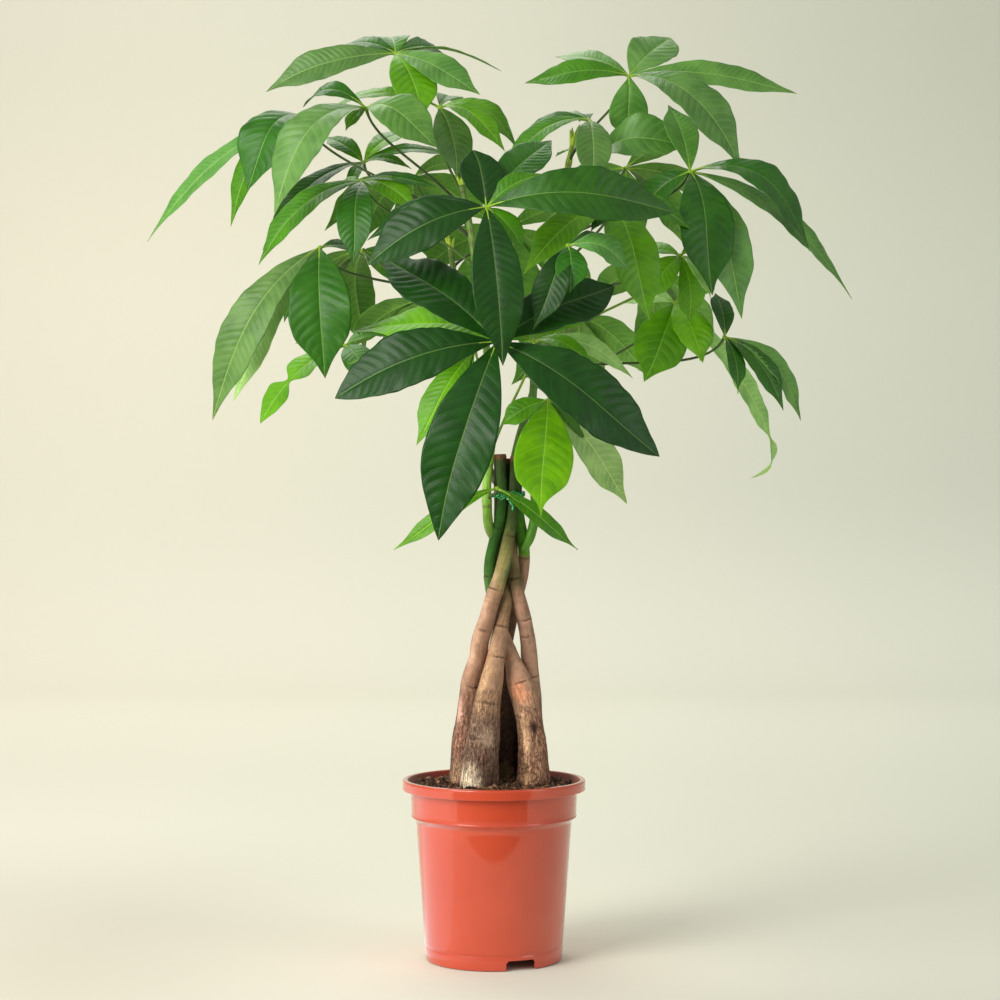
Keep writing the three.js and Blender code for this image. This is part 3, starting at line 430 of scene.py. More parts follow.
def spokes(angle, first, other):
    """Directions at each angle between two directions, for each row of these."""
    return np.cos(angle)[None, :, None] * first[:, None] + np.sin(angle)[None, :, None] * other[:, None]


def run_along(path):
    """The length of a path up to each of its points."""
    return np.concatenate([[0], np.cumsum(np.linalg.norm(np.diff(path, axis=0), axis=1))])


def doubled_ends(rows):
    """Rows with the first and the last one repeated."""
    return np.vstack([rows[:1], rows, rows[-1:]])


def grid_faces(rows, columns, wrap=False, flip=False):
    """The quads of a grid of points that is stored row by row."""
    across = columns if wrap else columns - 1
    i, j = np.meshgrid(np.arange(rows - 1), np.arange(across), indexing="ij")
    a = i * columns + j
    b = i * columns + (j + 1) % columns
    quads = np.stack([a, b, b + columns, a + columns], axis=-1).reshape(-1, 4)
    return quads[:, ::-1] if flip else quads


def tube_faces(rings, sides, flip=False):
    """The faces of a tube's wall and of its two ends."""
    start = list(range(sides))
    end = [(rings - 1) * sides + k for k in start]
    ends = [start, end[::-1]] if flip else [start[::-1], end]
    return grid_faces(rings, sides, wrap=True, flip=flip).tolist() + ends


def link_object(name, data):
    """A new object in the scene."""
    made = bpy.data.objects.new(name, data)
    bpy.context.scene.collection.objects.link(made)
    return made


def make_smooth(mesh):
    """Shades every face of a mesh smooth."""
    mesh.polygons.foreach_set("use_smooth", np.ones(len(mesh.polygons), bool))


class Skin:
    """Gathers patches of faces with their own coordinates and tones into one mesh."""

    def __init__(self):
        self.points = []
        self.faces = []
        self.materials = []
        self.values = {"vein": [], "place": [], "tone": []}
        self.count = 0

    def add(self, points, faces, vein=(0, 0, 0), place=(0, 0, 0), tone=(1, 1, 1), material=0):
        """Adds a patch. vein, place and tone are each three numbers, or three for each point."""
        points = np.reshape(points, (-1, 3))
        self.points.append(points)
        for name, rows in (("vein", vein), ("place", place), ("tone", tone)):
            self.values[name].append(np.broadcast_to(np.reshape(rows, (-1, 3)), points.shape))
        self.faces.extend([k + self.count for k in face] for face in faces)
        self.materials.extend(material if isinstance(material, list) else [material] * len(faces))
        self.count += len(points)

    def build(self, name, materials):
        """Makes the object, in metres."""
        mesh = bpy.data.meshes.new(name)
        mesh.from_pydata((np.concatenate(self.points) * MM).tolist(), [], self.faces)
        for layer, rows in self.values.items():
            attribute = mesh.attributes.new(layer, "FLOAT_VECTOR", "POINT")
            attribute.data.foreach_set("vector", np.concatenate(rows).ravel().astype(np.float32))
        for material in materials:
            mesh.materials.append(material)
        mesh.polygons.foreach_set("material_index", np.array(self.materials, np.int32))
        make_smooth(mesh)
        mesh.update()
        return link_object(name, mesh)


def through(rows, count):
    """Points of a smooth curve through rows of numbers."""
    rows = np.asarray(rows, float)
    padded = np.vstack([2 * rows[0] - rows[1], rows, 2 * rows[-1] - rows[-2]])
    place = np.linspace(0, len(rows) - 1, count)
    i = np.minimum(place.astype(int), len(rows) - 2)
    f = (place - i)[:, None]
    p0, p1, p2, p3 = (padded[i + k] for k in range(4))
    square = 2 * p0 - 5 * p1 + 4 * p2 - p3
    cube = 3 * p1 - p0 - 3 * p2 + p3
    return 0.5 * (2 * p1 + (p2 - p0) * f + square * f**2 + cube * f**3)


def ring_frames(path):
    """Two directions square to a path at each of its points, turning as little as they can."""
    along = unit(np.gradient(path, axis=0))
    first = np.array([0.0, 1.0, 0.0])
    if abs(along[0] @ first) > 0.9:
        first = np.array([1.0, 0.0, 0.0])
    side = unit(np.cross(first, along[0]))
    sides = []
    for direction in along:
        side = unit(side - direction * (side @ direction))
        sides.append(side)
    sides = np.array(sides)
    return along, sides, np.cross(along, sides)


def add_tube(skin, path, radii, sides, tone, material=0, rounded=True):
    """Adds a closed round tube along a path, with a radius at each point."""
    radii = np.broadcast_to(np.asarray(radii, float), len(path))
    tone = np.broadcast_to(tone, (len(path), 3))
    along, side, other = ring_frames(path)
    if rounded:
        start = path[0] - along[0] * radii[0] * 0.5
        end = path[-1] + along[-1] * radii[-1] * 0.5
        path = np.vstack([start, path, end])
        radii = np.concatenate([[radii[0] * 0.55], radii, [radii[-1] * 0.55]])
        side, other, tone = doubled_ends(side), doubled_ends(other), doubled_ends(tone)
    angle = circle(sides)
    wide = radii[:, None]
    points = path[:, None] + spokes(angle, side, other) * wide[..., None]
    place = stacked(np.cos(angle) * wide, np.sin(angle) * wide, run_along(path)[:, None])
    faces = tube_faces(len(path), sides, flip=True)
    skin.add(points, faces, place=place, tone=np.repeat(tone, sides, axis=0), material=material)


def dress(piece, slot, *nodes):
    """Ties a piece to the body and hides the nodes that it stands for; its slot is not used."""
    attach(piece, "root")
    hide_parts(*nodes)


# ---------------------------------------------------------------- shader helpers


class Shader:
    """Builds one node material in few words."""

    def __init__(self, name, roughness=0.5, specular=0.5):
        self.material = bpy.data.materials.new(name)
        self.material.use_nodes = True
        self.tree = self.material.node_tree
        self.surface = self.tree.nodes["Principled BSDF"]
        self.give("Roughness", roughness)
        self.give("Specular IOR Level", specular)

    def give(self, name, value):
        """Sets or links one input of the surface."""
        self.feed(self.surface.inputs[name], value)

    def node(self, kind, *values, **settings):
        """Adds a node, with its settings, and its inputs in order from numbers or sockets."""
        made = self.tree.nodes.new("ShaderNode" + kind)
        for key, value in settings.items():
            setattr(made, key, value)
        for socket, value in zip(made.inputs, values):
            self.feed(socket, value)
        return made

    def feed(self, socket, value):
        """Gives a socket a link, a number or a colour, or leaves it as it is for None."""
        if value is None:
            return
        if isinstance(value, bpy.types.NodeSocket):
            self.tree.links.new(value, socket)
        elif socket.type == "RGBA":
            socket.default_value = (*value, 1)
        else:
            socket.default_value = value

    def math(self, operation, a, b=None):
        return self.node("Math", a, b, operation=operation).outputs[0]

    def times(self, a, b):
        return self.math("MULTIPLY", a, b)

    def plus(self, a, b):
        return self.math("ADD", a, b)

    def off_half(self, value):
        """How far a value is from a half."""
        return self.math("ABSOLUTE", self.math("SUBTRACT", value, 0.5))

    def total(self, first, *others):
        """The sum of values that are each given with their weight."""
        result = self.times(*first)
        for value, weight in others:
            result = self.plus(result, self.times(value, weight))
        return result

    def smooth(self, value, low, high, start=0.0, end=1.0):
        """A soft step of a value, from start at low to end at high."""
        made = self.node("MapRange", value, low, high, start, end, interpolation_type="SMOOTHSTEP")
        return made.outputs[0]

    def mix(self, share, a, b, blend_type="MIX"):
        """A colour between a and b."""
        made = self.node("Mix", data_type="RGBA", blend_type=blend_type)
        for index, value in ((0, share), (6, a), (7, b)):
            self.feed(made.inputs[index], value)
        return made.outputs[2]

    def tinted(self, colour, factors):
        """A colour times another."""
        return self.mix(1.0, colour, factors, "MULTIPLY")

    def layers(self, colour, *rows):
        """A colour under others, each by a mask and the mask's strength."""
        for mask, strength, over in rows:
            colour = self.mix(self.times(mask, strength), colour, over)
        return colour

    def steps(self, colour, *rows):
        """A colour under others, each where a value is past a soft step, up to a share."""
        for value, low, high, share, over in rows:
            colour = self.mix(self.smooth(value, low, high, 0.0, share), colour, over)
        return colour

    def parts(self, name):
        """The three numbers of a mesh attribute, and the three as one vector."""
        vector = self.node("Attribute", attribute_name=name).outputs["Vector"]
        return (*self.split(vector), vector)

    def split(self, vector):
        return self.node("SeparateXYZ", vector).outputs

    def join(self, x, y, z):
        return self.node("CombineXYZ", x, y, z).outputs[0]

    def objects(self):
        return self.node("TexCoord").outputs["Object"]

    def texture(self, kind, output, vector, inputs, **settings):
        made = self.node(kind, **settings)
        self.feed(made.inputs["Vector"], vector)
        for name, value in inputs.items():
            self.feed(made.inputs[name], value)
        return made.outputs[output]

    def noise(self, vector, scale, detail=3.0, roughness=0.55):
        inputs = {"Scale": scale, "Detail": detail, "Roughness": roughness}
        return self.texture("TexNoise", "Fac", vector, inputs)

    def edges(self, vector, scale):
        """The distance from the borders of a pattern of cells."""
        return self.texture("TexVoronoi", "Distance", vector, {"Scale": scale}, feature="DISTANCE_TO_EDGE")

    def tone(self):
        return self.node("Attribute", attribute_name="tone").outputs["Color"]

    def bump(self, height, distance, strength=1.0):
        made = self.node("Bump")
        for name, value in (("Strength", strength), ("Distance", distance * MM), ("Height", height)):
            self.feed(made.inputs[name], value)
        return made.outputs["Normal"]

    def finish(self, colour, normal=None, roughness=None):
        """Gives the surface its colour and, where given, its normal and roughness."""
        self.give("Base Color", colour)
        self.give("Normal", normal)
        self.give("Roughness", roughness)
        return self.material


def leaf_material(name, under):
    """A blade's face: pale midrib and side veins, a fine net and slow changes of tone."""
    shade = Shader(name, specular=0.3 if under else 0.34)
    along, across, _, _ = shade.parts("vein")
    wide, _, _, spot = shade.parts("place")
    off_vein = shade.math("SUBTRACT", 0.5, shade.off_half(shade.math("FRACT", along)))
    edge = shade.math("ABSOLUTE", across)
    vein = shade.times(shade.smooth(off_vein, 0.01, 0.06, 1, 0), shade.smooth(edge, 0.5, 0.98, 1, 0.15))
    halo = shade.smooth(off_vein, 0.0, 0.4, 1, 0)
    rib = shade.smooth(shade.math("ABSOLUTE", wide), 0.25, 0.65, 1, 0)
    net = shade.smooth(shade.edges(spot, 0.42), 0.0, 0.12, 1, 0)
    patch = shade.noise(spot, 0.045, 2.0)
    grain = shade.noise(spot, 0.9, 4.0)
    tone = shade.tone()
    if under:
        tone = shade.mix(0.2, tone, linear(140, 176, 96))
    shadow = shade.tinted(tone, (0.70, 0.78, 0.66))
    lit = shade.tinted(tone, (1.28, 1.20, 1.18))
    pale = shade.tinted(tone, (2.2, 1.7, 1.9))
    bright = shade.mix(0.22, pale, linear(170, 204, 110))
    colour = shade.layers(
        shade.mix(shade.smooth(patch, 0.3, 0.72), shadow, lit),
        (shade.smooth(grain, 0.35, 0.7), 0.2, shadow),
        (halo, 0.2, lit),
        (net, 0.07, pale),
        (vein, 0.5 if under else 0.42, pale),
        (rib, 0.85, bright),
    )
    height = shade.total((net, 0.25), (vein, 0.9), (grain, 0.35))
    normal = shade.bump(height if under else shade.times(height, -1.0), 0.16, 0.8)
    shade.give("Subsurface Weight", 0.22)
    shade.give("Subsurface Radius", (0.6, 1.0, 0.25))
    shade.give("Subsurface Scale", 1.2 * MM)
    rough = (0.5, 0.66) if under else (0.3, 0.46)
    return shade.finish(colour, normal, shade.smooth(grain, 0.2, 0.8, *rough))


def stalk_material():
    """Leaf stalks and green shoots: smooth, faintly streaked along their length."""
    shade = Shader("stalk_skin", specular=0.45)
    x, y, run, place = shade.parts("place")
    streak = shade.noise(shade.join(x, y, shade.times(run, 0.08)), 1.6)
    spot = shade.noise(place, 0.5)
    tone = shade.tone()
    colour = shade.mix(shade.smooth(streak, 0.35, 0.7), shade.tinted(tone, (0.6, 0.62, 0.55)), tone)
    colour = shade.steps(colour, (spot, 0.62, 0.72, 0.45, linear(120, 98, 60)))
    normal = shade.bump(shade.plus(streak, spot), 0.12, 0.7)
    return shade.finish(colour, normal, shade.smooth(spot, 0.3, 0.7, 0.36, 0.52))


def bark_material():
    """Bark: smooth skin with faint wrinkles above, and cracked cork at the foot."""
    shade = Shader("bark_skin", specular=0.3)
    x, y, run, place = shade.parts("place")
    rough = shade.parts("vein")[0]
    cloud = shade.noise(place, 0.09, 4.0, 0.6)
    fibre = shade.noise(shade.join(x, y, shade.times(run, 0.22)), 0.55, 5.0, 0.66)
    thread = shade.noise(shade.join(x, y, shade.times(run, 0.06)), 1.1, 4.0, 0.62)
    wrinkle = shade.noise(shade.join(shade.times(x, 0.3), shade.times(y, 0.3), run), 0.75, 5.0, 0.65)
    speck = shade.noise(place, 0.9, 5.0, 0.68)
    chunk = shade.noise(shade.join(x, y, shade.times(run, 0.6)), 0.36, 5.0, 0.68)
    tone = shade.tone()
    dark = shade.tinted(tone, (0.3, 0.23, 0.19))
    light = shade.tinted(tone, (1.9, 1.85, 1.75))
    colour = shade.steps(
        shade.mix(shade.smooth(cloud, 0.3, 0.7), shade.mix(0.25, tone, dark), shade.mix(0.3, tone, light)),
        (wrinkle, 0.54, 0.7, 0.4, dark),
        (thread, 0.5, 0.7, 0.3, light),
        (thread, 0.48, 0.32, 0.3, dark),
        (speck, 0.62, 0.7, 0.5, dark),
        (speck, 0.40, 0.3, 0.4, light),
    )
    strips = shade.times(shade.smooth(shade.off_half(fibre), 0.045, 0.0), rough)
    flakes = shade.times(shade.smooth(chunk, 0.5, 0.62), rough)
    pits = shade.times(shade.smooth(chunk, 0.46, 0.36), rough)
    grit = shade.times(shade.smooth(speck, 0.5, 0.6), rough)
    colour = shade.layers(
        colour, (flakes, 0.75, light), (pits, 0.85, dark), (strips, 0.75, dark), (grit, 0.4, dark)
    )
    height = shade.total((wrinkle, -0.3), (speck, 0.35), (strips, -0.8), (shade.times(chunk, rough), 2.4))
    return shade.finish(colour, shade.bump(height, 1.4), shade.smooth(speck, 0.3, 0.7, 0.8, 0.6))


def soil_material():
    """Damp dark peat."""
    shade = Shader("peat", specular=0.25)
    spot = shade.objects()
    coarse = shade.noise(spot, 150.0, 6.0, 0.7)
    fine = shade.noise(spot, 800.0, 5.0, 0.7)
    colour = shade.mix(shade.smooth(coarse, 0.35, 0.68), linear(46, 32, 25), linear(108, 82, 64))
    colour = shade.steps(colour, (fine, 0.56, 0.75, 0.6, linear(128, 102, 80)))
    height = shade.plus(coarse, shade.times(fine, 0.6))
    return shade.finish(shade.tinted(colour, shade.tone()), shade.bump(height, 1.6), 0.9)


def pot_material():
    """Glossy moulded plastic with faint flow lines, fine grain, a few rubbed marks and painted shade inside
    the mouth.
    """
    shade = Shader("pot_plastic_skin")
    spot = shade.objects()
    x, y, z = shade.split(spot)
    turn = shade.join(shade.times(shade.math("ARCTAN2", y, x), 0.02), 0.0, z)
    flow = shade.noise(turn, 46.0)
    cloud = shade.noise(spot, 14.0)
    fine = shade.noise(spot, 1100.0)
    scuff = shade.noise(turn, 900.0, 4.0, 0.7)
    # Painted shade inside the mouth: the wall below the rim, told by its radius and height here in metres, is
    # darkened and loses its coat.
    radius = shade.math("SQRT", shade.plus(shade.times(x, x), shade.times(y, y)))
    inside = shade.times(shade.smooth(radius, 0.0808, 0.0794), shade.smooth(z, 0.157, 0.158))
    colour = shade.mix(shade.smooth(cloud, 0.3, 0.7), linear(186, 61, 29), linear(194, 67, 34))
    colour = shade.steps(
        colour, (fine, 0.64, 0.8, 0.12, linear(216, 120, 88)), (scuff, 0.7, 0.78, 0.10, linear(214, 132, 104))
    )
    # Painted shade on the mouth's inner wall.
    colour = shade.layers(colour, (inside, 0.55, linear(96, 30, 16)))
    rough = shade.smooth(shade.plus(cloud, shade.times(scuff, 0.5)), 0.4, 1.1, 0.3, 0.42)
    # The coat is taken off where the shade is painted.
    shade.give("Coat Weight", shade.math("SUBTRACT", 1.0, inside))
    shade.give("Coat Roughness", 0.06)
    return shade.finish(colour, shade.bump(shade.plus(flow, shade.times(fine, 0.05)), 0.22, 0.3), rough)


def foil_material():
    """Green foil over thin wire, with painted sparkle: lighter green flecks and near-white glints."""
    shade = Shader("foil", roughness=0.22, specular=0.7)
    crease_and_sparkle = shade.noise(shade.objects(), 900.0, 4.0)
    glint = shade.noise(shade.objects(), 420.0, 2.0)
    # Painted sparkle: lighter green flecks by the creases, which also give the bump.
    colour = shade.mix(shade.smooth(crease_and_sparkle, 0.35, 0.65), linear(0, 104, 46), linear(40, 220, 110))
    # Painted glints: near-white spots.
    colour = shade.steps(colour, (glint, 0.53, 0.59, 1.0, linear(176, 255, 206)))
    shade.give("Metallic", 0.4)
    return shade.finish(colour, shade.bump(crease_and_sparkle, 0.5))


# ---------------------------------------------------------------- leaves

# Places across a blade from its midrib to its edge, closer by the midrib and the edge.
HALF_COLUMNS = np.array([0.04, 0.12, 0.27, 0.44, 0.62, 0.8, 0.93, 1.0])
COLUMNS = np.concatenate([-HALF_COLUMNS[::-1], [0.0], HALF_COLUMNS])
BY_MIDRIB = [len(HALF_COLUMNS) - 1, len(HALF_COLUMNS) + 1]
HOOK_WAY = unit(np.array([-1.0, 0.0, 0.1]))
TONE_SPREAD = {"lightness": (0.88, 1.1), "tint": (0.94, 1.06)}
# The places of a leaf's materials in its list.
UPPER, UNDER, STALK = 0, 1, 2


def outline(t, neck):
    """How wide a blade is along its midrib, as a share of its widest place."""
    plain = t ** OUTLINE["rise"] * np.clip(1 - t, 0, 1) ** OUTLINE["fall"] / OUTLINE["peak"]
    if neck is None:
        return plain
    return plain * (1 - OUTLINE["neck_depth"] * bell((t - neck) / OUTLINE["neck_reach"]))


def leaflet_frame(facing, leaflet):
    """The way a leaflet faces and the side it spreads to."""
    along = unit(leaflet["tip"])
    facing = unit(facing - along * (facing @ along))
    turn = math.radians(leaflet["roll"])
    facing = facing * math.cos(turn) + np.cross(along, facing) * math.sin(turn)
    return facing, np.cross(along, facing)


def midrib(hub, leaflet, facing, t):
    """Points of the midrib, which rises first and then droops."""
    t = t[..., None]
    bow = leaflet["length"] * np.sin(math.pi * np.clip(t, 0, 1) ** BLADE["droop"])
    return hub + leaflet["tip"] * t + facing * (leaflet["arch"] * bow)


def blade_grid(leaflet):
    """At each point of a blade: its places along and across, its half width and its vein phase."""
    length, reach = leaflet["length"], leaflet["width"] / 2
    spacing = max(BLADE["least_vein_spacing"], BLADE["vein_spacing_share"] * leaflet["width"])
    veins = max(BLADE["fewest_veins"], round(length / spacing))
    rows = veins * BLADE["rows_per_vein"] + 1
    root = BLADE["root"] / length
    base = (root + (1 - root) * np.linspace(0, 1, rows) ** 0.94)[:, None]
    s = np.tile(COLUMNS, (rows, 1))
    edge = np.abs(s)
    sweep = BLADE["vein_sweep"] * reach / length * np.sin(math.pi * base)
    t = np.clip(base + sweep * (0.7 * edge + 0.3 * edge**3), 0, 1)
    drip = 1 - leaflet["drip"] * soft_step(t, *BLADE["drip_from_to"])
    half = np.maximum(BLADE["least_half_width"], reach * outline(t, leaflet["neck"]) * drip)
    near = np.clip(BLADE["rib_half_width"] / half[:, BY_MIDRIB], 0.02, 0.5)
    s[:, BY_MIDRIB] = np.sign(s[:, BY_MIDRIB]) * near
    return t, s, half, veins * (base - root) / (1 - root) * np.ones_like(s)


def blade_waves(leaflet, number, t, s, half, shift):
    """How far a blade waves and ripples towards its edges."""
    edge = np.abs(s)
    steps = min(6, max(3, round(leaflet["length"] / BLADE["wave_length"])))
    swing = math.pi * (steps * t ** (1 / 0.9) + 0.7 * number)
    wave = BLADE["wave"] * half * np.sin(swing) * np.sign(s) * edge**1.5
    ripple = 0.04 * np.sin(1.7 * swing + shift) + 0.02 * np.sin(4.3 * swing + 2 * shift)
    return wave + half * ripple * edge**2.5


def blade_relief(s, half, phase):
    """The quilting between a blade's veins and the groove over its midrib."""
    edge = np.abs(s)
    quilt = np.abs(np.sin(math.pi * phase)) ** 0.7
    raised = BLADE["quilt"] * half * quilt * np.clip(edge / 0.25, 0, 1) * (1 - edge**4)
    return raised - BLADE["groove"] * bell(s * half / 0.8)


def tip_bend(leaflet, t, side, hook):
    """How a blade's outer part bends: to its side by chance, or by its own hook."""
    way, power = side, 2
    if leaflet["hook"] is not None:
        way, power, hook = HOOK_WAY, 5, leaflet["hook"]
    bend = BLADE["hook_reach"] * hook * leaflet["length"] * np.clip((t - 0.6) / 0.4, 0, 1) ** power
    return way * bend[..., None]


def add_blade(skin, entry, leaflet, number, tone, chance):
    """Adds one leaflet: a thin closed blade, sunk along its veins and ribbed below."""
    hub = entry["hub"]
    facing, side = leaflet_frame(entry["facing"], leaflet)
    t, s, half, phase = blade_grid(leaflet)
    phase_left, phase_right, twist, hook = chance.uniform(-1, 1, 4)
    shift = np.where(s < 0, phase_left, phase_right) * math.pi
    edge = np.abs(s)
    curl = BLADE["curl"] + leaflet["curl"]
    cup = half * (0.5 * BLADE["cup"] * edge + (1 - np.cos(curl * edge)) * 0.45)
    lean = BLADE["lean"] * twist * t * s * half
    height = cup + blade_waves(leaflet, number, t, s, half, shift) + lean + blade_relief(s, half, phase)
    spread = half * np.sin(curl * edge) / curl * np.sign(s)
    middle = midrib(hub, leaflet, facing, t)
    normal = unit(np.cross(side, midrib(hub, leaflet, facing, t + 0.01) - middle))
    bend = tip_bend(leaflet, t, side, hook)
    upper = middle + side * spread[..., None] + bend + normal * height[..., None]
    rib = BLADE["rib"] * (1 - t) ** 0.6 * bell(s * half / 0.6)
    lower = upper - normal * (BLADE["thickness"] + rib)[..., None]
    rows, columns = s.shape
    vein = stacked(phase, s, t)
    place = stacked(s * half, t * leaflet["length"], BLADE["pattern_step"] * number + hub[0])
    faces = grid_faces(rows, columns).tolist()
    under = (grid_faces(rows, columns, flip=True) + rows * columns).tolist()
    rim = blade_rim(rows, columns)
    materials = [UPPER] * len(faces) + [UNDER] * len(under) + [UPPER] * len(rim)
    skin.add([upper, lower], faces + under + rim, [vein, vein], [place, place], tone, materials)


def blade_rim(rows, columns):
    """The faces that close a blade's edge between its upper and lower sheets."""
    size = rows * columns
    last = size - columns
    rim = []
    for i in range(rows - 1):
        a = i * columns
        z = a + columns - 1
        rim.append([a, a + columns, a + columns + size, a + size])
        rim.append([z + columns, z, z + size, z + columns + size])
    for j in range(columns - 1):
        rim.append([j + 1, j, j + size, j + 1 + size])
        rim.append([last + j, last + j + 1, last + j + 1 + size, last + j + size])
    return rim


def petiole_path(entry, count=26):
    """The leaf stalk's line: it leaves the shoot upwards and comes to the hub from below."""
    shoot, root = entry["root"]
    rows = np.array(SHOOTS[shoot], float)
    start = np.array([np.interp(root, rows[:, 2], rows[:, k]) for k in range(3)])
    hub = entry["hub"]
    reach = np.linalg.norm(hub - start)
    leave = start + unit(hub - start) * PETIOLE["leave"] * reach + np.array([0, 0, PETIOLE["lift"] * reach])
    arrive = hub - entry["facing"] * PETIOLE["arrive"] * reach
    t = np.linspace(0, 1, count)[:, None]
    return (1 - t) ** 3 * start + 3 * (1 - t) ** 2 * t * leave + 3 * (1 - t) * t**2 * arrive + t**3 * hub


def add_hub(skin, entry, tone):
    """The knob where the leaflets meet: a low dome with a short stub towards each."""
    facing = entry["facing"]
    side = unit(np.cross(facing, [1.0, 0.0, 0.0]))
    polar = np.linspace(0.12, math.pi - 0.12, HUB["rings"])[:, None, None]
    out = spokes(circle(HUB["sides"]), side[None], np.cross(facing, side)[None])
    points = entry["hub"] + HUB["radius"] * (out * np.sin(polar) + facing * HUB["flatness"] * np.cos(polar))
    skin.add(points, tube_faces(HUB["rings"], HUB["sides"]), place=points, tone=tone, material=STALK)
    for leaflet in entry["blades"]:
        leaflet_facing, _ = leaflet_frame(facing, leaflet)
        t = np.linspace(0.0, min(HUB["stub_share"], HUB["stub_length"] / leaflet["length"]), 6)
        path = midrib(entry["hub"], leaflet, leaflet_facing, t) - leaflet_facing * HUB["stub_depth"]
        add_tube(skin, path, np.linspace(*HUB["stub_radii"], len(t)), 8, tone, material=STALK)


def stalk_tones(entry, count):
    """The stalk's colour along it: browner at its foot, and green at the hub."""
    foot = STALK_DARK if entry["tone"] in ("dark", "deep", "mid") else STALK_GREEN
    head = STALK_YOUNG if entry["tone"] == "bright" else STALK_GREEN
    return blend(foot, head, np.linspace(0, 1, count)[:, None])


def make_leaf(name, entry, materials, chance):
    """One compound leaf, with its stalk, hub and leaflets, as one piece."""
    skin = Skin()
    for number, leaflet in enumerate(entry["blades"]):
        tone = TONES[leaflet["tone"] or entry["tone"]]
        tone = tone * chance.uniform(*TONE_SPREAD["lightness"]) * chance.uniform(*TONE_SPREAD["tint"], 3)
        add_blade(skin, entry, leaflet, number, tone, chance)
    path = petiole_path(entry)
    share = np.linspace(0, 1, len(path))
    radii = PETIOLE["shaft"] + (PETIOLE["base"] - PETIOLE["shaft"]) * np.exp(-PETIOLE["taper"] * share)
    radii = radii + PETIOLE["swelling"] * bell((share - 1) / PETIOLE["swelling_reach"])
    add_tube(skin, path, radii, 12, stalk_tones(entry, len(path)), material=STALK)
    add_hub(skin, entry, STALK_YOUNG)
    dress(skin.build(name + "_fine", materials), "leaf", name)


# ---------------------------------------------------------------- strands and shoots

# Bark colours up each strand: the height and the colour there.
BARK = {
    "trunk_left": [
        (150, 146, 112, 90), (200, 150, 112, 92), (228, 142, 108, 88), (240, 144, 108, 86),
        (300, 150, 114, 92), (338, 150, 116, 90), (350, 146, 130, 86), (378, 124, 120, 66),
        (402, 58, 78, 30), (465, 46, 58, 28),
    ],
    "trunk_front": [
        (150, 128, 98, 76), (190, 140, 112, 94), (222, 146, 116, 96), (234, 160, 126, 98),
        (290, 158, 124, 98), (320, 140, 110, 80), (350, 94, 86, 48), (400, 50, 66, 28), (467, 46, 44, 26),
    ],
    "trunk_right": [
        (150, 152, 112, 86), (190, 168, 126, 98), (240, 188, 146, 118), (290, 166, 130, 106),
        (326, 118, 94, 68), (342, 70, 108, 46), (380, 46, 96, 28), (430, 44, 84, 26), (467, 54, 66, 32),
    ],
    "trunk_right_rear": [
        (150, 140, 110, 88), (220, 162, 128, 106), (300, 164, 130, 108), (336, 156, 120, 98),
        (350, 88, 80, 48), (372, 150, 128, 90), (392, 60, 64, 32), (463, 48, 54, 28),
    ],
    # trunk_rear's dark colours below about 320 are painted shade, where it stands behind the other strands.
    "trunk_rear": [
        (150, 84, 62, 46), (240, 88, 66, 50), (320, 124, 96, 76), (362, 150, 118, 96), (372, 132, 108, 78),
        (376, 84, 146, 30), (430, 66, 118, 32), (462, 56, 76, 34),
    ],
}
# Colours up each green shoot: the height and the colour there. shoot_left's pale band from about 400 to 520
# is partly painted highlight.
SHOOT_TONES = {
    "shoot_left": [
        (388, 104, 70, 44), (392, 96, 120, 44), (402, 132, 178, 62), (440, 158, 208, 84),
        (480, 160, 206, 88), (520, 130, 170, 70), (720, 112, 146, 62),
    ],
    "shoot_right": [
        (378, 84, 146, 30), (440, 84, 140, 36), (600, 92, 132, 50), (690, 140, 172, 52),
        (756, 160, 190, 60),
    ],
    "shoot_rear_left": [
        (440, 70, 84, 40), (470, 84, 116, 46), (668, 112, 146, 60),
    ],
    "shoot_rear_right": [
        (438, 70, 84, 40), (470, 84, 116, 46), (690, 112, 146, 60),
    ],
}
# Leaf scars: the height, the angle from the front in degrees, the half width and the depth.
SCARS = {
    "trunk_left": [
        (343, -42, 6.0, 1.3), (254, 35, 7.0, 0.9), (306, -10, 4.0, 0.6), (392, 20, 4.0, 0.7),
        (330, 170, 5.0, 0.9),
    ],
    "trunk_front": [
        (281, 22, 6.0, 1.0), (239, 5, 7.0, 0.9), (308, 0, 7.0, 0.9), (205, -30, 8.0, 0.7),
    ],
    "trunk_right": [
        (256, 10, 5.0, 0.6), (356, -45, 3.4, 1.2), (400, -20, 4.0, 0.7), (300, 175, 6.0, 0.8),
    ],
    "trunk_right_rear": [
        (315, 25, 5.0, 1.0), (352, -6, 5.5, 1.4), (300, -15, 5.0, 0.7), (262, 20, 6.0, 0.6),
        (330, 160, 5.0, 0.9),
    ],
    "trunk_rear": [
        (372, 10, 4.0, 0.9), (250, 170, 6.0, 0.8), (318, 185, 6.0, 0.9),
    ],
}
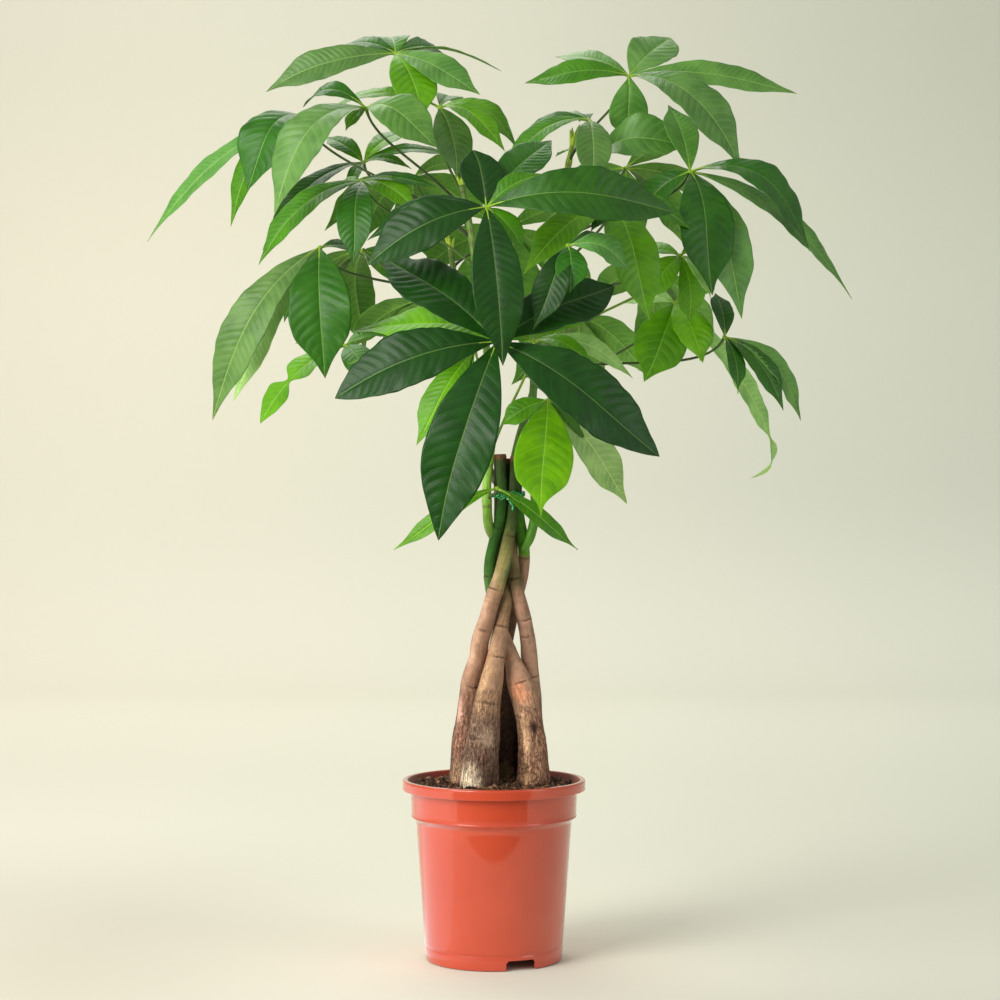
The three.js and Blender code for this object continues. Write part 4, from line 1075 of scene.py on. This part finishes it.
# Patches of another colour: the height, the angle, the half height, the half width, the colour and
# how rough the bark is there.
PATCHES = {
    "trunk_front": [
        (166, -30, 15, 14, (255, 234, 200), 0.7), (168, 28, 12, 6, (70, 46, 30), 1.0),
        (186, 14, 20, 7, (112, 84, 66), 1.0), (206, 10, 9, 9, (168, 142, 118), 0.4),
        (262, -40, 26, 5, (204, 164, 126), 0.3),
    ],
    "trunk_right": [
        (206, -22, 20, 4, (240, 196, 152), 0.35), (248, -14, 10, 8, (226, 156, 118), 0.2),
        (168, -24, 11, 8, (208, 164, 124), 1.0), (190, 24, 26, 8, (184, 142, 114), 1.0),
        (214, 16, 6, 4, (70, 46, 28), 0.8),
    ],
    "trunk_rear": [
        (166, 2, 12, 7, (176, 140, 96), 1.0),
    ],
    "trunk_left": [
        (172, -42, 16, 7, (206, 168, 134), 0.9), (208, -40, 22, 6, (176, 130, 108), 0.7),
        (300, -50, 50, 5, (190, 152, 128), 0.0), (362, 62, 14, 2.4, (84, 120, 62), 0.0),
        (230, -55, 14, 4, (214, 168, 150), 0.1),
    ],
}
# The bark is rough cork below the first height and smooth above the second.
ROUGH_BELOW = (205.0, 262.0)
STRAND = {
    "rings": 260,
    "sides": 64,
    "seed_step": 7.3,
    "pattern_step": 90,
    "lumps": 0.035,
    "skin_relief": 0.12,
    "cork_relief": 0.8,
    "wrinkle": 0.16,
    "wrinkle_height": 5.8,
    "ragged_colour": 2.5,
    "burr": 0.7,
    "burr_from_to": (6, 2),
}
SHOOT = {
    "rings": 150,
    "sides": 28,
    "seed_step": 5.1,
    "pattern_step": 60,
    "relief": 0.16,
    "joint": 0.5,
    "tuft": 5,
}
CRUMB = {"least": 0.9, "most_more": 2.6, "squash": (0.6, 1.15), "dent": (-0.25, 0.25), "sunk": 0.35}
CRUMB_TONES = [0.5, 0.8, 1.1, 2.0, 3.6]
CRUMB_SHARES = [0.26, 0.28, 0.26, 0.13, 0.07]
FIBRE = {"length": (5, 15), "bend": (-0.16, 0.16), "radius": (0.18, 0.42), "lift": 1.3, "tone": (0.5, 1.4)}


def colour_stops(stops, heights):
    """The colour at each height, from rows of a height and a colour."""
    known = [height for height, *_ in stops]
    colours = np.array([linear(*colour) for _, *colour in stops])
    return np.stack([np.interp(heights, known, colours[:, k]) for k in range(3)], axis=-1)


def fractal(points, octaves=3):
    """Smooth noise from about -1 to 1 at each point."""
    values = [noise.fractal(Vector(p), 0.8, 2.0, octaves) for p in points.reshape(-1, 3).tolist()]
    return np.array(values).reshape(points.shape[:-1])


def bark_points(angle, height, width, stretch, shift):
    """Places for a noise that runs round a stem and up it."""
    return stacked(np.cos(angle) * width, np.sin(angle) * width, height[:, None] / stretch + shift)


def stem_surface(rows, count, sides):
    """A stem's rings: its middle line, its way, spokes from the front round to the right, and radii."""
    smooth = through(rows, count)
    centre, radius = smooth[:, :3], smooth[:, 3]
    along = unit(np.gradient(centre, axis=0))
    right = unit(np.cross(np.array([0.0, 1.0, 0.0]), along))
    angle = circle(sides)
    return centre, along, spokes(angle, np.cross(right, along), right), radius, angle


def turn_between(angle, degrees):
    """The signed turn from an angle in degrees to each angle in radians."""
    return (angle - math.radians(degrees) + math.pi) % (2 * math.pi) - math.pi


def add_patches(name, angle, height, radius, ragged, tone, roughness):
    """Lays a strand's patches of another colour over its tones and its roughness."""
    for z, degrees, tall, wide, colour, coarse in PATCHES.get(name, []):
        x = turn_between(angle, degrees) * radius[:, None] / wide
        y = ((height - z) / tall)[:, None]
        share = np.clip(1.35 - np.sqrt(x**2 + y**2) + 0.35 * ragged, 0, 1) ** 0.8
        tone = blend(tone, linear(*colour), share[..., None])
        roughness = blend(roughness, coarse, share)
    return tone, roughness


def add_scars(name, angle, height, radius, ragged, tone, growth):
    """Cuts a strand's leaf scars: a swelling, a dark line in it and a pale lip below."""
    for z, degrees, wide, deep in SCARS[name]:
        turn = turn_between(angle, degrees)
        fade = np.exp(-((turn * radius[:, None] / wide) ** 4))
        y = (height - z)[:, None] + 0.5 * ragged + 0.9 * np.cos(turn)
        growth += 0.5 * deep * (0.35 + 0.65 * fade) * bell((y + 2.2) / 2.2)
        growth -= 0.7 * deep * fade * bell((y - 0.3) / 0.9)
        tone = blend(tone, SCAR_LINE, (bell(y / 0.7) * (0.3 + 0.62 * fade))[..., None])
        tone = blend(tone, tone * 1.6, (0.35 * bell((y + 1.8) / 0.9) * fade)[..., None])
    return tone, growth


def make_strand(name, rows, seed, material):
    """One braided strand, with its bark, scars and cut top."""
    centre, along, out, radius, angle = stem_surface(rows, STRAND["rings"], STRAND["sides"])
    height, shift = centre[:, 2], seed * STRAND["seed_step"]
    rough = np.interp(height, ROUGH_BELOW, (1.0, 0.0))[:, None]
    ragged = fractal(bark_points(angle, height, 3, 7, shift))
    growth = STRAND["lumps"] * fractal(bark_points(angle, height, 1, 26, shift) * 1.1) * radius[:, None]
    relief = STRAND["skin_relief"] + STRAND["cork_relief"] * rough
    growth += relief * fractal(bark_points(angle, height, 5.2, 34, shift), 4)
    growth += STRAND["wrinkle"] * np.sin(height / STRAND["wrinkle_height"] + seed)[:, None] * (1 - rough)
    tone = colour_stops(BARK[name], height[:, None] + STRAND["ragged_colour"] * ragged)
    roughness = np.clip(rough + 0.4 * ragged * np.clip(rough * 5, 0, 1), 0, 1)
    low, high = STRAND["burr_from_to"]
    near_top = soft_step(height[:, None] + 2 * ragged, height[-1] - low, height[-1] - high)
    tone = blend(tone, CUT_WOOD, near_top[..., None])
    growth += STRAND["burr"] * near_top * (ragged + 0.3)
    tone, roughness = add_patches(name, angle, height, radius, ragged, tone, roughness)
    tone, growth = add_scars(name, angle, height, radius, ragged, tone, growth)
    top = centre[-1] + along[-1] * np.array([0.5, 0.5, 0.0, -0.4])[:, None]
    cut_radii = radius[-1] * np.array([0.93, 0.78, 0.4, 0.04])
    cap = top[:, None] + out[-1] * cut_radii[:, None, None]
    points = np.concatenate([centre[:, None] + out * (radius[:, None] + growth)[..., None], cap])
    tone = np.concatenate([tone, np.repeat(CUT_RINGS[:, None], len(angle), axis=1)])
    roughness = np.concatenate([roughness, np.full((len(cap), len(angle)), 0.5)])
    run = np.concatenate([height, height[-1] + np.arange(1, 5)])[:, None]
    wide = np.append(radius, cut_radii)[:, None]
    place = stacked(np.cos(angle) * wide + STRAND["pattern_step"] * seed, np.sin(angle) * wide, run)
    skin = Skin()
    skin.add(points, tube_faces(len(points), len(angle)), stacked(roughness, 0, 0), place, tone)
    dress(skin.build(name + "_bark", [material]), "bark", name)


def add_tuft(skin, tip, along, seed):
    """The folded young leaflets at a shoot's tip."""
    t = np.linspace(0, 1, 9)[:, None]
    fold = 1.5 * np.sin(math.pi * np.clip(t[:, 0] * 0.92 + 0.06, 0, 1)) ** 0.7 + 0.15
    for k in range(SHOOT["tuft"]):
        turn = 2 * math.pi * k / SHOOT["tuft"] + seed
        lean = np.array([math.cos(turn), math.sin(turn), 0.0])
        path = tip - along * 3 + along * (24 - 3 * k) * t + lean * (1.2 + 4.2 * t**2)
        add_tube(skin, path, fold, 10, BUD_GREEN)


def make_shoot(name, rows, seed, material):
    """A green shoot with young leaflets at its tip, swollen a little where each leaf stalk leaves it."""
    centre, along, out, radius, angle = stem_surface(rows, SHOOT["rings"], SHOOT["sides"])
    height = centre[:, 2]
    tone = colour_stops(SHOOT_TONES[name], height)
    growth = np.zeros(len(height))
    for shoot, root in (entry["root"] for entry in LEAVES.values()):
        if shoot == name:
            growth += SHOOT["joint"] * bell((height - root) / 4.0)
            tone = blend(tone, JOINT_BROWN, 0.6 * bell((height - root + 5) / 1.4)[:, None])
    relief = fractal(bark_points(angle, height, 1.5, 22, seed * SHOOT["seed_step"]))
    growth = growth[:, None] + SHOOT["relief"] * relief
    wide = radius[:, None]
    points = centre[:, None] + out * (wide + growth)[..., None]
    shift = SHOOT["pattern_step"] * seed
    place = stacked(np.cos(angle) * wide + shift, np.sin(angle) * wide, height[:, None])
    skin = Skin()
    skin.add(points, tube_faces(*points.shape[:2]), place=place, tone=np.repeat(tone, len(angle), axis=0))
    add_tuft(skin, centre[-1], along[-1], seed)
    dress(skin.build(name + "_stem", [material]), "green_stem", name)


# ---------------------------------------------------------------- pot, soil and tie


def arc_points(centre, radius, start, end, count):
    """Points of a round corner, from one angle in degrees to another."""
    angles = np.radians(np.linspace(start, end, count))
    return [(centre[0] + radius * math.cos(a), centre[1] + radius * math.sin(a)) for a in angles]


def body_radius(z):
    """The pot's outer radius below its step."""
    return blend(POT["base_radius"], POT["body_top_radius"], z / POT["step_foot"])


def pot_profile():
    """The pot's section, from under its floor round its outside and back to its floor."""
    wall, edge, top = POT["wall"], POT["edge_round"], POT["height"]
    rim, band, step = POT["rim_radius"], POT["band_radius"], POT["body_top_radius"]
    foot, step_foot = POT["band_foot"], POT["step_foot"]
    floor, line, lip = POT["floor_height"], POT["base_line"], top - POT["lip_height"]
    under, corner = floor - wall, edge * 1.4
    profile = [(1.0, under), (body_radius(10) - wall - 1, under)]
    profile += [(body_radius(9) - wall, under - 1), (body_radius(0) - wall, 0.3)]
    profile += arc_points((body_radius(0) - 0.7, 0.7), 0.7, -130, 0, 5)
    profile += [(body_radius(line - 1.2), line - 1.2), (body_radius(line) - 0.45, line - 0.4)]
    profile += [(body_radius(line) - 0.45, line + 0.4), (body_radius(line + 1.2), line + 1.2)]
    profile += [(body_radius(z), z) for z in np.linspace(16, step_foot, 24)]
    profile += [(step + 0.12, step_foot + 0.4), (step + 0.5, step_foot + 0.9)]
    profile += [(band - 0.6, foot - 0.7), (band + 0.25, foot - 0.25), (band + 0.5, foot + 0.15)]
    profile += [(band + 0.45, foot + 0.55), (band + 0.1, foot + 0.95), (band, foot + 1.4)]
    profile += [(band + POT["band_flare"] * s, blend(foot, lip + wall, s)) for s in (0.3, 0.6, 0.9)]
    profile += [(rim - wall - edge / 2, lip + POT["lip_curl"]), (rim - wall, lip + 0.5)]
    profile += arc_points((rim - wall / 2, lip + 0.6), wall / 2, 200, 340, 6)
    profile += [(rim, lip + 2), (rim, top - 2.6)]
    profile += arc_points((rim - corner, top - corner), corner, 0, 90, 6)
    profile += arc_points((POT["mouth_radius"] + edge, top - edge), edge, 95, 160, 5)
    profile += [(band, top - 9.0), (band - wall + 0.6, top - 12.0), (band - wall, foot + wall)]
    profile += [(step - wall, step_foot + wall)]
    profile += [(body_radius(z) - wall, z) for z in (80, 40, floor)]
    return np.array(profile + [(1.0, floor)])


def add_cut(whole, shape, centre, turn):
    """Adds a shape to the cutters, at its place and turned round the pot's axis."""
    bmesh.ops.translate(shape, vec=Vector(centre) * MM, verts=shape.verts)
    bmesh.ops.rotate(shape, cent=(0, 0, 0), matrix=Matrix.Rotation(turn, 3, "Z"), verts=shape.verts)
    mesh = bpy.data.meshes.new("cut")
    shape.to_mesh(mesh)
    shape.free()
    whole.from_mesh(mesh)


def make_cutters():
    """The boxes that cut the foot notches and the round bars that cut the drain holes."""
    whole = bmesh.new()
    for degrees in NOTCH["angles"]:
        shape = bmesh.new()
        bmesh.ops.create_cube(shape, size=1.0)
        size = Vector((NOTCH["depth"], NOTCH["width"], 2 * NOTCH["height"]))
        bmesh.ops.scale(shape, vec=size * MM, verts=shape.verts)
        bmesh.ops.bevel(shape, geom=shape.edges[:], offset=NOTCH["round"] * MM, segments=3, affect="EDGES")
        add_cut(whole, shape, (POT["base_radius"], 0, 0), math.radians(degrees))
    radius, depth = DRAIN["radius"] * MM, DRAIN["depth"] * MM
    for turn in circle(DRAIN["count"]).tolist():
        shape = bmesh.new()
        bmesh.ops.create_cone(shape, cap_ends=True, segments=24, radius1=radius, radius2=radius, depth=depth)
        add_cut(whole, shape, (DRAIN["ring_radius"], 0, POT["floor_height"]), turn)
    mesh = bpy.data.meshes.new("cutters")
    whole.to_mesh(mesh)
    whole.free()
    return link_object("cutters", mesh)


def make_pot(material):
    """The turned pot, with its foot notches and drain holes cut."""
    radius, height = pot_profile().T[..., None]
    angle = circle(POT["sides"])
    skin = Skin()
    points = stacked(radius * np.cos(angle), radius * np.sin(angle), height)
    skin.add(points, tube_faces(len(radius), POT["sides"]))
    piece = skin.build("pot_shell", [material])
    cutters = make_cutters()
    modifier = piece.modifiers.new("cut", "BOOLEAN")
    modifier.operation = "DIFFERENCE"
    modifier.solver = "EXACT"
    modifier.object = cutters
    bpy.context.view_layer.update()
    shown = piece.evaluated_get(bpy.context.evaluated_depsgraph_get())
    mesh = bpy.data.meshes.new_from_object(shown)
    piece.modifiers.clear()
    piece.data = mesh
    bpy.data.objects.remove(cutters)
    make_smooth(mesh)
    mesh.set_sharp_from_angle(angle=math.radians(POT["sharp_above"]))
    dress(piece, "pot_plastic", "pot")


def soil_height(x, y):
    """The soil's surface before its crumbs."""
    share = np.hypot(x, y) / POT["band_radius"]
    lumps = np.sin(x * 0.31 + 1.3) * np.cos(y * 0.27) + 0.6 * np.sin(x * 0.13 - y * 0.19)
    return SOIL["level"] + SOIL["crown"] * (1 - share**2) + SOIL["lump"] * lumps


def make_soil(material, chance):
    """Peat with a crumbly surface, loose crumbs and fibres."""
    gap = POT["wall"] + SOIL["gap"]
    edge = POT["band_radius"] - gap
    rings, sides = 60, 200
    share = np.linspace(0.004, 1, rings)[:, None]
    angle = circle(sides)
    x, y = edge * share * np.cos(angle), edge * share * np.sin(angle)
    lumps = fractal(stacked(x / 7, y / 7, 3.1), 5)
    top = stacked(x, y, soil_height(x, y) + 1.7 * lumps * np.clip((1 - share) * 8, 0.35, 1))
    bed = POT["floor_height"] + 0.3
    lower = [(edge, 140.0), (edge - 3.6, 124.0), (body_radius(12) - gap, bed), (1.0, bed)]
    walls = [stacked(radius * np.cos(angle), radius * np.sin(angle), z)[None] for radius, z in lower]
    skin = Skin()
    skin.add(np.concatenate([top, *walls]), tube_faces(rings + len(walls), sides))
    add_crumbs(skin, edge, chance)
    add_fibres(skin, edge, chance)
    dress(skin.build("soil_peat", [material]), "soil", "soil")


def free_spot(edge, chance):
    """A random place on the soil that is clear of the strands."""
    while True:
        radius = edge * math.sqrt(chance.uniform(0.0, 0.97))
        angle = chance.uniform(0, 2 * math.pi)
        x, y = radius * math.cos(angle), radius * math.sin(angle)
        feet = (rows[1] for rows in STRANDS.values())
        if all(math.hypot(x - foot[0], y - foot[1]) > foot[3] - 1 for foot in feet):
            return x, y


def rough_ball():
    """A ball's points and faces, to be squashed into a crumb."""
    shape = bmesh.new()
    bmesh.ops.create_icosphere(shape, subdivisions=1, radius=1.0)
    points = np.array([v.co[:] for v in shape.verts])
    faces = [[v.index for v in f.verts] for f in shape.faces]
    shape.free()
    return points, faces


def add_crumbs(skin, edge, chance):
    """Loose crumbs of many sizes, pressed a little into the surface."""
    ball, faces = rough_ball()
    for _ in range(SOIL["crumbs"]):
        x, y = free_spot(edge - 3, chance)
        size = CRUMB["least"] + CRUMB["most_more"] * chance.random() ** 2.4
        shape = ball * chance.uniform(*CRUMB["squash"], 3)
        shape = shape * (1 + chance.uniform(*CRUMB["dent"], (len(ball), 1)))
        turn = Matrix.Rotation(chance.uniform(0, 6.28), 3, Vector(chance.normal(size=3)).normalized())
        middle = np.array([x, y, float(soil_height(x, y)) + CRUMB["sunk"] * size])
        tone = PEAT_CRUMB * chance.choice(CRUMB_TONES, p=CRUMB_SHARES)
        skin.add(shape @ np.array(turn) * size + middle, faces, tone=tone)


def add_fibres(skin, edge, chance):
    """Short pale fibres lying on the peat."""
    t = np.linspace(-0.5, 0.5, 7)
    for _ in range(SOIL["fibres"]):
        x, y = free_spot(edge - 8, chance)
        turn = chance.uniform(0, 2 * math.pi)
        heading = turn + chance.uniform(*FIBRE["bend"]) * t * 6
        length = chance.uniform(*FIBRE["length"])
        px = np.clip(x + length * t * np.cos(heading), -edge + 4, edge - 4)
        py = y + length * t * np.sin(heading)
        inside = np.minimum(1, (edge - 3) / np.maximum(np.hypot(px, py), 1e-6))
        px, py = px * inside, py * inside
        pz = soil_height(px, py) + FIBRE["lift"] + chance.uniform(0, 1.0) + 1.5 * (0.25 - t**2)
        tone = PEAT_FIBRE * chance.uniform(*FIBRE["tone"])
        add_tube(skin, stacked(px, py, pz), chance.uniform(*FIBRE["radius"]), 5, tone, rounded=False)


def make_tie(material):
    """A strip of foil twisted round thin wire: two turns round the strands and two ends."""
    skin = Skin()
    (x, y), height, radius = TIE["centre"], TIE["height"], TIE["radius"]
    angle = np.linspace(0, 4 * math.pi, 220)
    ring = radius + 0.55 * np.sin(angle * 0.5) + 0.25 * np.sin(angle * 9)
    lift = height + 1.2 * np.sin(angle + 0.6) + 1.1 * np.cos(angle / 2)
    add_twist(skin, stacked(x + ring * np.cos(angle), y + ring * np.sin(angle), lift), TIE["strip"])
    front = np.array([x - 2, y - radius - 0.6, height - 1])
    for end in TIE_ENDS:
        add_twist(skin, front + through(end, 40), TIE["end_strip"])
    dress(skin.build("tie_foil_twist", [material]), "tie_foil", "tie")


def add_twist(skin, path, half):
    """A flat strip that turns round its own line, with a thin core."""
    along, side, other = ring_frames(path)
    turn = run_along(path)[:, None] * TIE["twist"]
    across = np.cos(turn) * side + np.sin(turn) * other
    normal = np.cross(along, across)
    thin = TIE["thinness"]
    corners = np.array([(-1, -thin), (1, -thin), (1, thin), (-1, thin)])
    points = path[:, None] + half * (corners[:, :1] * across[:, None] + corners[:, 1:] * normal[:, None])
    skin.add(points, tube_faces(len(path), len(corners), flip=True))
    add_tube(skin, path, half * TIE["core"], 6, (1, 1, 1))


# ---------------------------------------------------------------- studio
# Lamps, cards and the sweep are placed and sized in metres.


def make_stage():
    """A pale floor that sweeps up behind the plant, as one smooth sheet."""
    bend, radius, front, side, top = (SWEEP[k] for k in ("bend", "radius", "front", "side", "top"))
    turns = np.linspace(0.06, math.pi / 2, 24)
    curve = [(bend + radius * math.sin(a), radius - radius * math.cos(a)) for a in turns]
    profile = [(front, 0.0), (bend, 0.0), *curve, (bend + radius, top)]
    mesh = bpy.data.meshes.new("sweep")
    points = [(x, y, z - SWEEP["below_pot"]) for y, z in profile for x in (-side, side)]
    faces = [(2 * i, 2 * i + 1, 2 * i + 3, 2 * i + 2) for i in range(len(profile) - 1)]
    mesh.from_pydata(points, [], faces)
    make_smooth(mesh)
    mesh.materials.append(backdrop_material())
    link_object("sweep", mesh)


def backdrop_material():
    """A sweep whose colour carries painted light and shade: painted lighter and warmer on the left, painted
    shade high up and on the far floor, and on the near floor painted shade beside the pot with a painted
    lighter patch in front of it.
    """
    shade = Shader("backdrop", roughness=1.0, specular=0.0)
    x, y, z = shade.split(shade.objects())
    # Painted light: lighter and warmer towards the left, where the key lamp's light falls.
    across = shade.smooth(x, -1.3, 1.3)
    wall = shade.mix(across, linear(242, 238, 220), linear(224, 226, 211))
    curve = shade.mix(across, linear(248, 243, 226), linear(239, 240, 225))
    # Painted shade on the far floor, where the wash lamp's light falls.
    far_painted_shade = shade.mix(across, linear(232, 227, 210), linear(226, 228, 212))
    # On the near floor, painted shade to both sides of the pot and a painted lighter patch in front of it,
    # where the pot and the plant shade the floor.
    near = shade.mix(shade.smooth(x, -0.42, -0.04), linear(208, 203, 187), linear(230, 227, 211))
    near = shade.mix(shade.smooth(x, 0.1, 0.42), near, linear(221, 221, 206))
    # Painted shade high up the wall.
    high_painted_shade = shade.mix(across, linear(229, 226, 210), linear(213, 215, 200))
    wall = shade.mix(shade.smooth(z, 0.9, 1.8), wall, high_painted_shade)
    colour = shade.mix(shade.smooth(z, 0.03, 0.5), curve, wall)
    colour = shade.mix(shade.smooth(y, 2.7, 1.2), colour, far_painted_shade)
    return shade.finish(shade.mix(shade.smooth(y, 0.9, -0.1), colour, near))


def add_light(name, place, target, size, power, colour, glossy=True):
    """A soft rectangular lamp that looks at a point."""
    lamp = bpy.data.lights.new(name, "AREA")
    lamp.shape = "RECTANGLE"
    lamp.size, lamp.size_y = size
    lamp.energy = power
    lamp.color = colour
    holder = link_object(name, lamp)
    holder.location = place
    holder.rotation_euler = (Vector(target) - Vector(place)).to_track_quat("-Z", "Y").to_euler()
    holder.visible_camera = False
    holder.visible_glossy = glossy


def make_lights():
    """Soft light from the upper left, less from the right, some from behind, and one lamp for the wall."""
    add_light("key", (-1.7, -1.9, 1.6), (0, 0, 0.4), (1.3, 1.8), 52, (1.0, 0.98, 0.94))
    add_light("side", (-1.25, -0.74, 0.45), (0, 0, 0.2), (1.3, 1.2), 16, (1.0, 0.99, 0.97), glossy=False)
    add_light("fill", (2.1, -1.3, 1.1), (0, 0, 0.45), (0.9, 1.8), 10, (0.96, 0.98, 1.0))
    add_light("back", (-0.5, 1.3, 2.2), (0, 0, 0.6), (1.4, 1.0), 12, (1.0, 1.0, 0.94))
    add_light("wash", (-0.7, 1.7, 2.9), (-0.7, 4.0, 0.1), (3.0, 1.0), 38, (1.0, 0.99, 0.95))
    world = bpy.data.worlds.new("room")
    world.use_nodes = True
    background = world.node_tree.nodes["Background"].inputs
    background["Color"].default_value = (0.98, 0.99, 0.97, 1)
    background["Strength"].default_value = 0.42
    bpy.context.scene.world = world


def make_card(name, corners, glow):
    """A card on the floor, black or glowing, that only gloss shows."""
    mesh = bpy.data.meshes.new(name)
    mesh.from_pydata([(x, y, 0.001) for x, y in corners], [], [(0, 1, 2, 3)])
    shade = Shader(name + "_face", roughness=1.0, specular=0.0)
    shade.give("Emission Color", (1.0, 0.96, 0.94))
    shade.give("Emission Strength", glow)
    mesh.materials.append(shade.finish((0.004, 0.004, 0.004)))
    card = link_object(name, mesh)
    for kind in ("camera", "diffuse", "shadow", "transmission"):
        setattr(card, "visible_" + kind, False)


def make_cards():
    """A painted dark reflection in the middle of the pot's gloss, and a painted pale one on its left."""
    make_card("dark_card", [(-0.44, -0.385), (-2.5, -2.0), (2.1, -2.0), (0.37, -0.385)], 0.0)
    make_card("pale_card", [(-0.075, -0.045), (-1.6, -0.95), (-2.2, 1.9), (-0.06, 0.07)], 1.25)


def make_camera():
    """A level camera in front of the plant, with a long lens."""
    camera = bpy.data.cameras.new("camera")
    camera.lens = CAMERA["lens"]
    camera.sensor_width = CAMERA["sensor"]
    holder = link_object("camera", camera)
    holder.location = (CAMERA["side"] * MM, -CAMERA["distance"] * MM, CAMERA["height"] * MM)
    holder.rotation_euler = (math.pi / 2, 0, 0)
    bpy.context.scene.camera = holder


# ---------------------------------------------------------------- the whole scene


def make_plant():
    """Every piece of the potted plant."""
    chance = np.random.default_rng(7)
    leaf_skins = [leaf_material("leaf_upper", False), leaf_material("leaf_under", True), stalk_material()]
    bark = bark_material()
    make_pot(pot_material())
    make_soil(soil_material(), chance)
    for seed, (name, rows) in enumerate(STRANDS.items()):
        make_strand(name, rows, seed, bark)
    for seed, (name, rows) in enumerate(SHOOTS.items()):
        make_shoot(name, rows, seed, leaf_skins[STALK])
    make_tie(foil_material())
    for name, entry in LEAVES.items():
        make_leaf(name, entry, leaf_skins, chance)


make_camera()
make_stage()
make_lights()
make_cards()
make_plant()
bpy.context.scene.view_settings.view_transform = "Standard"
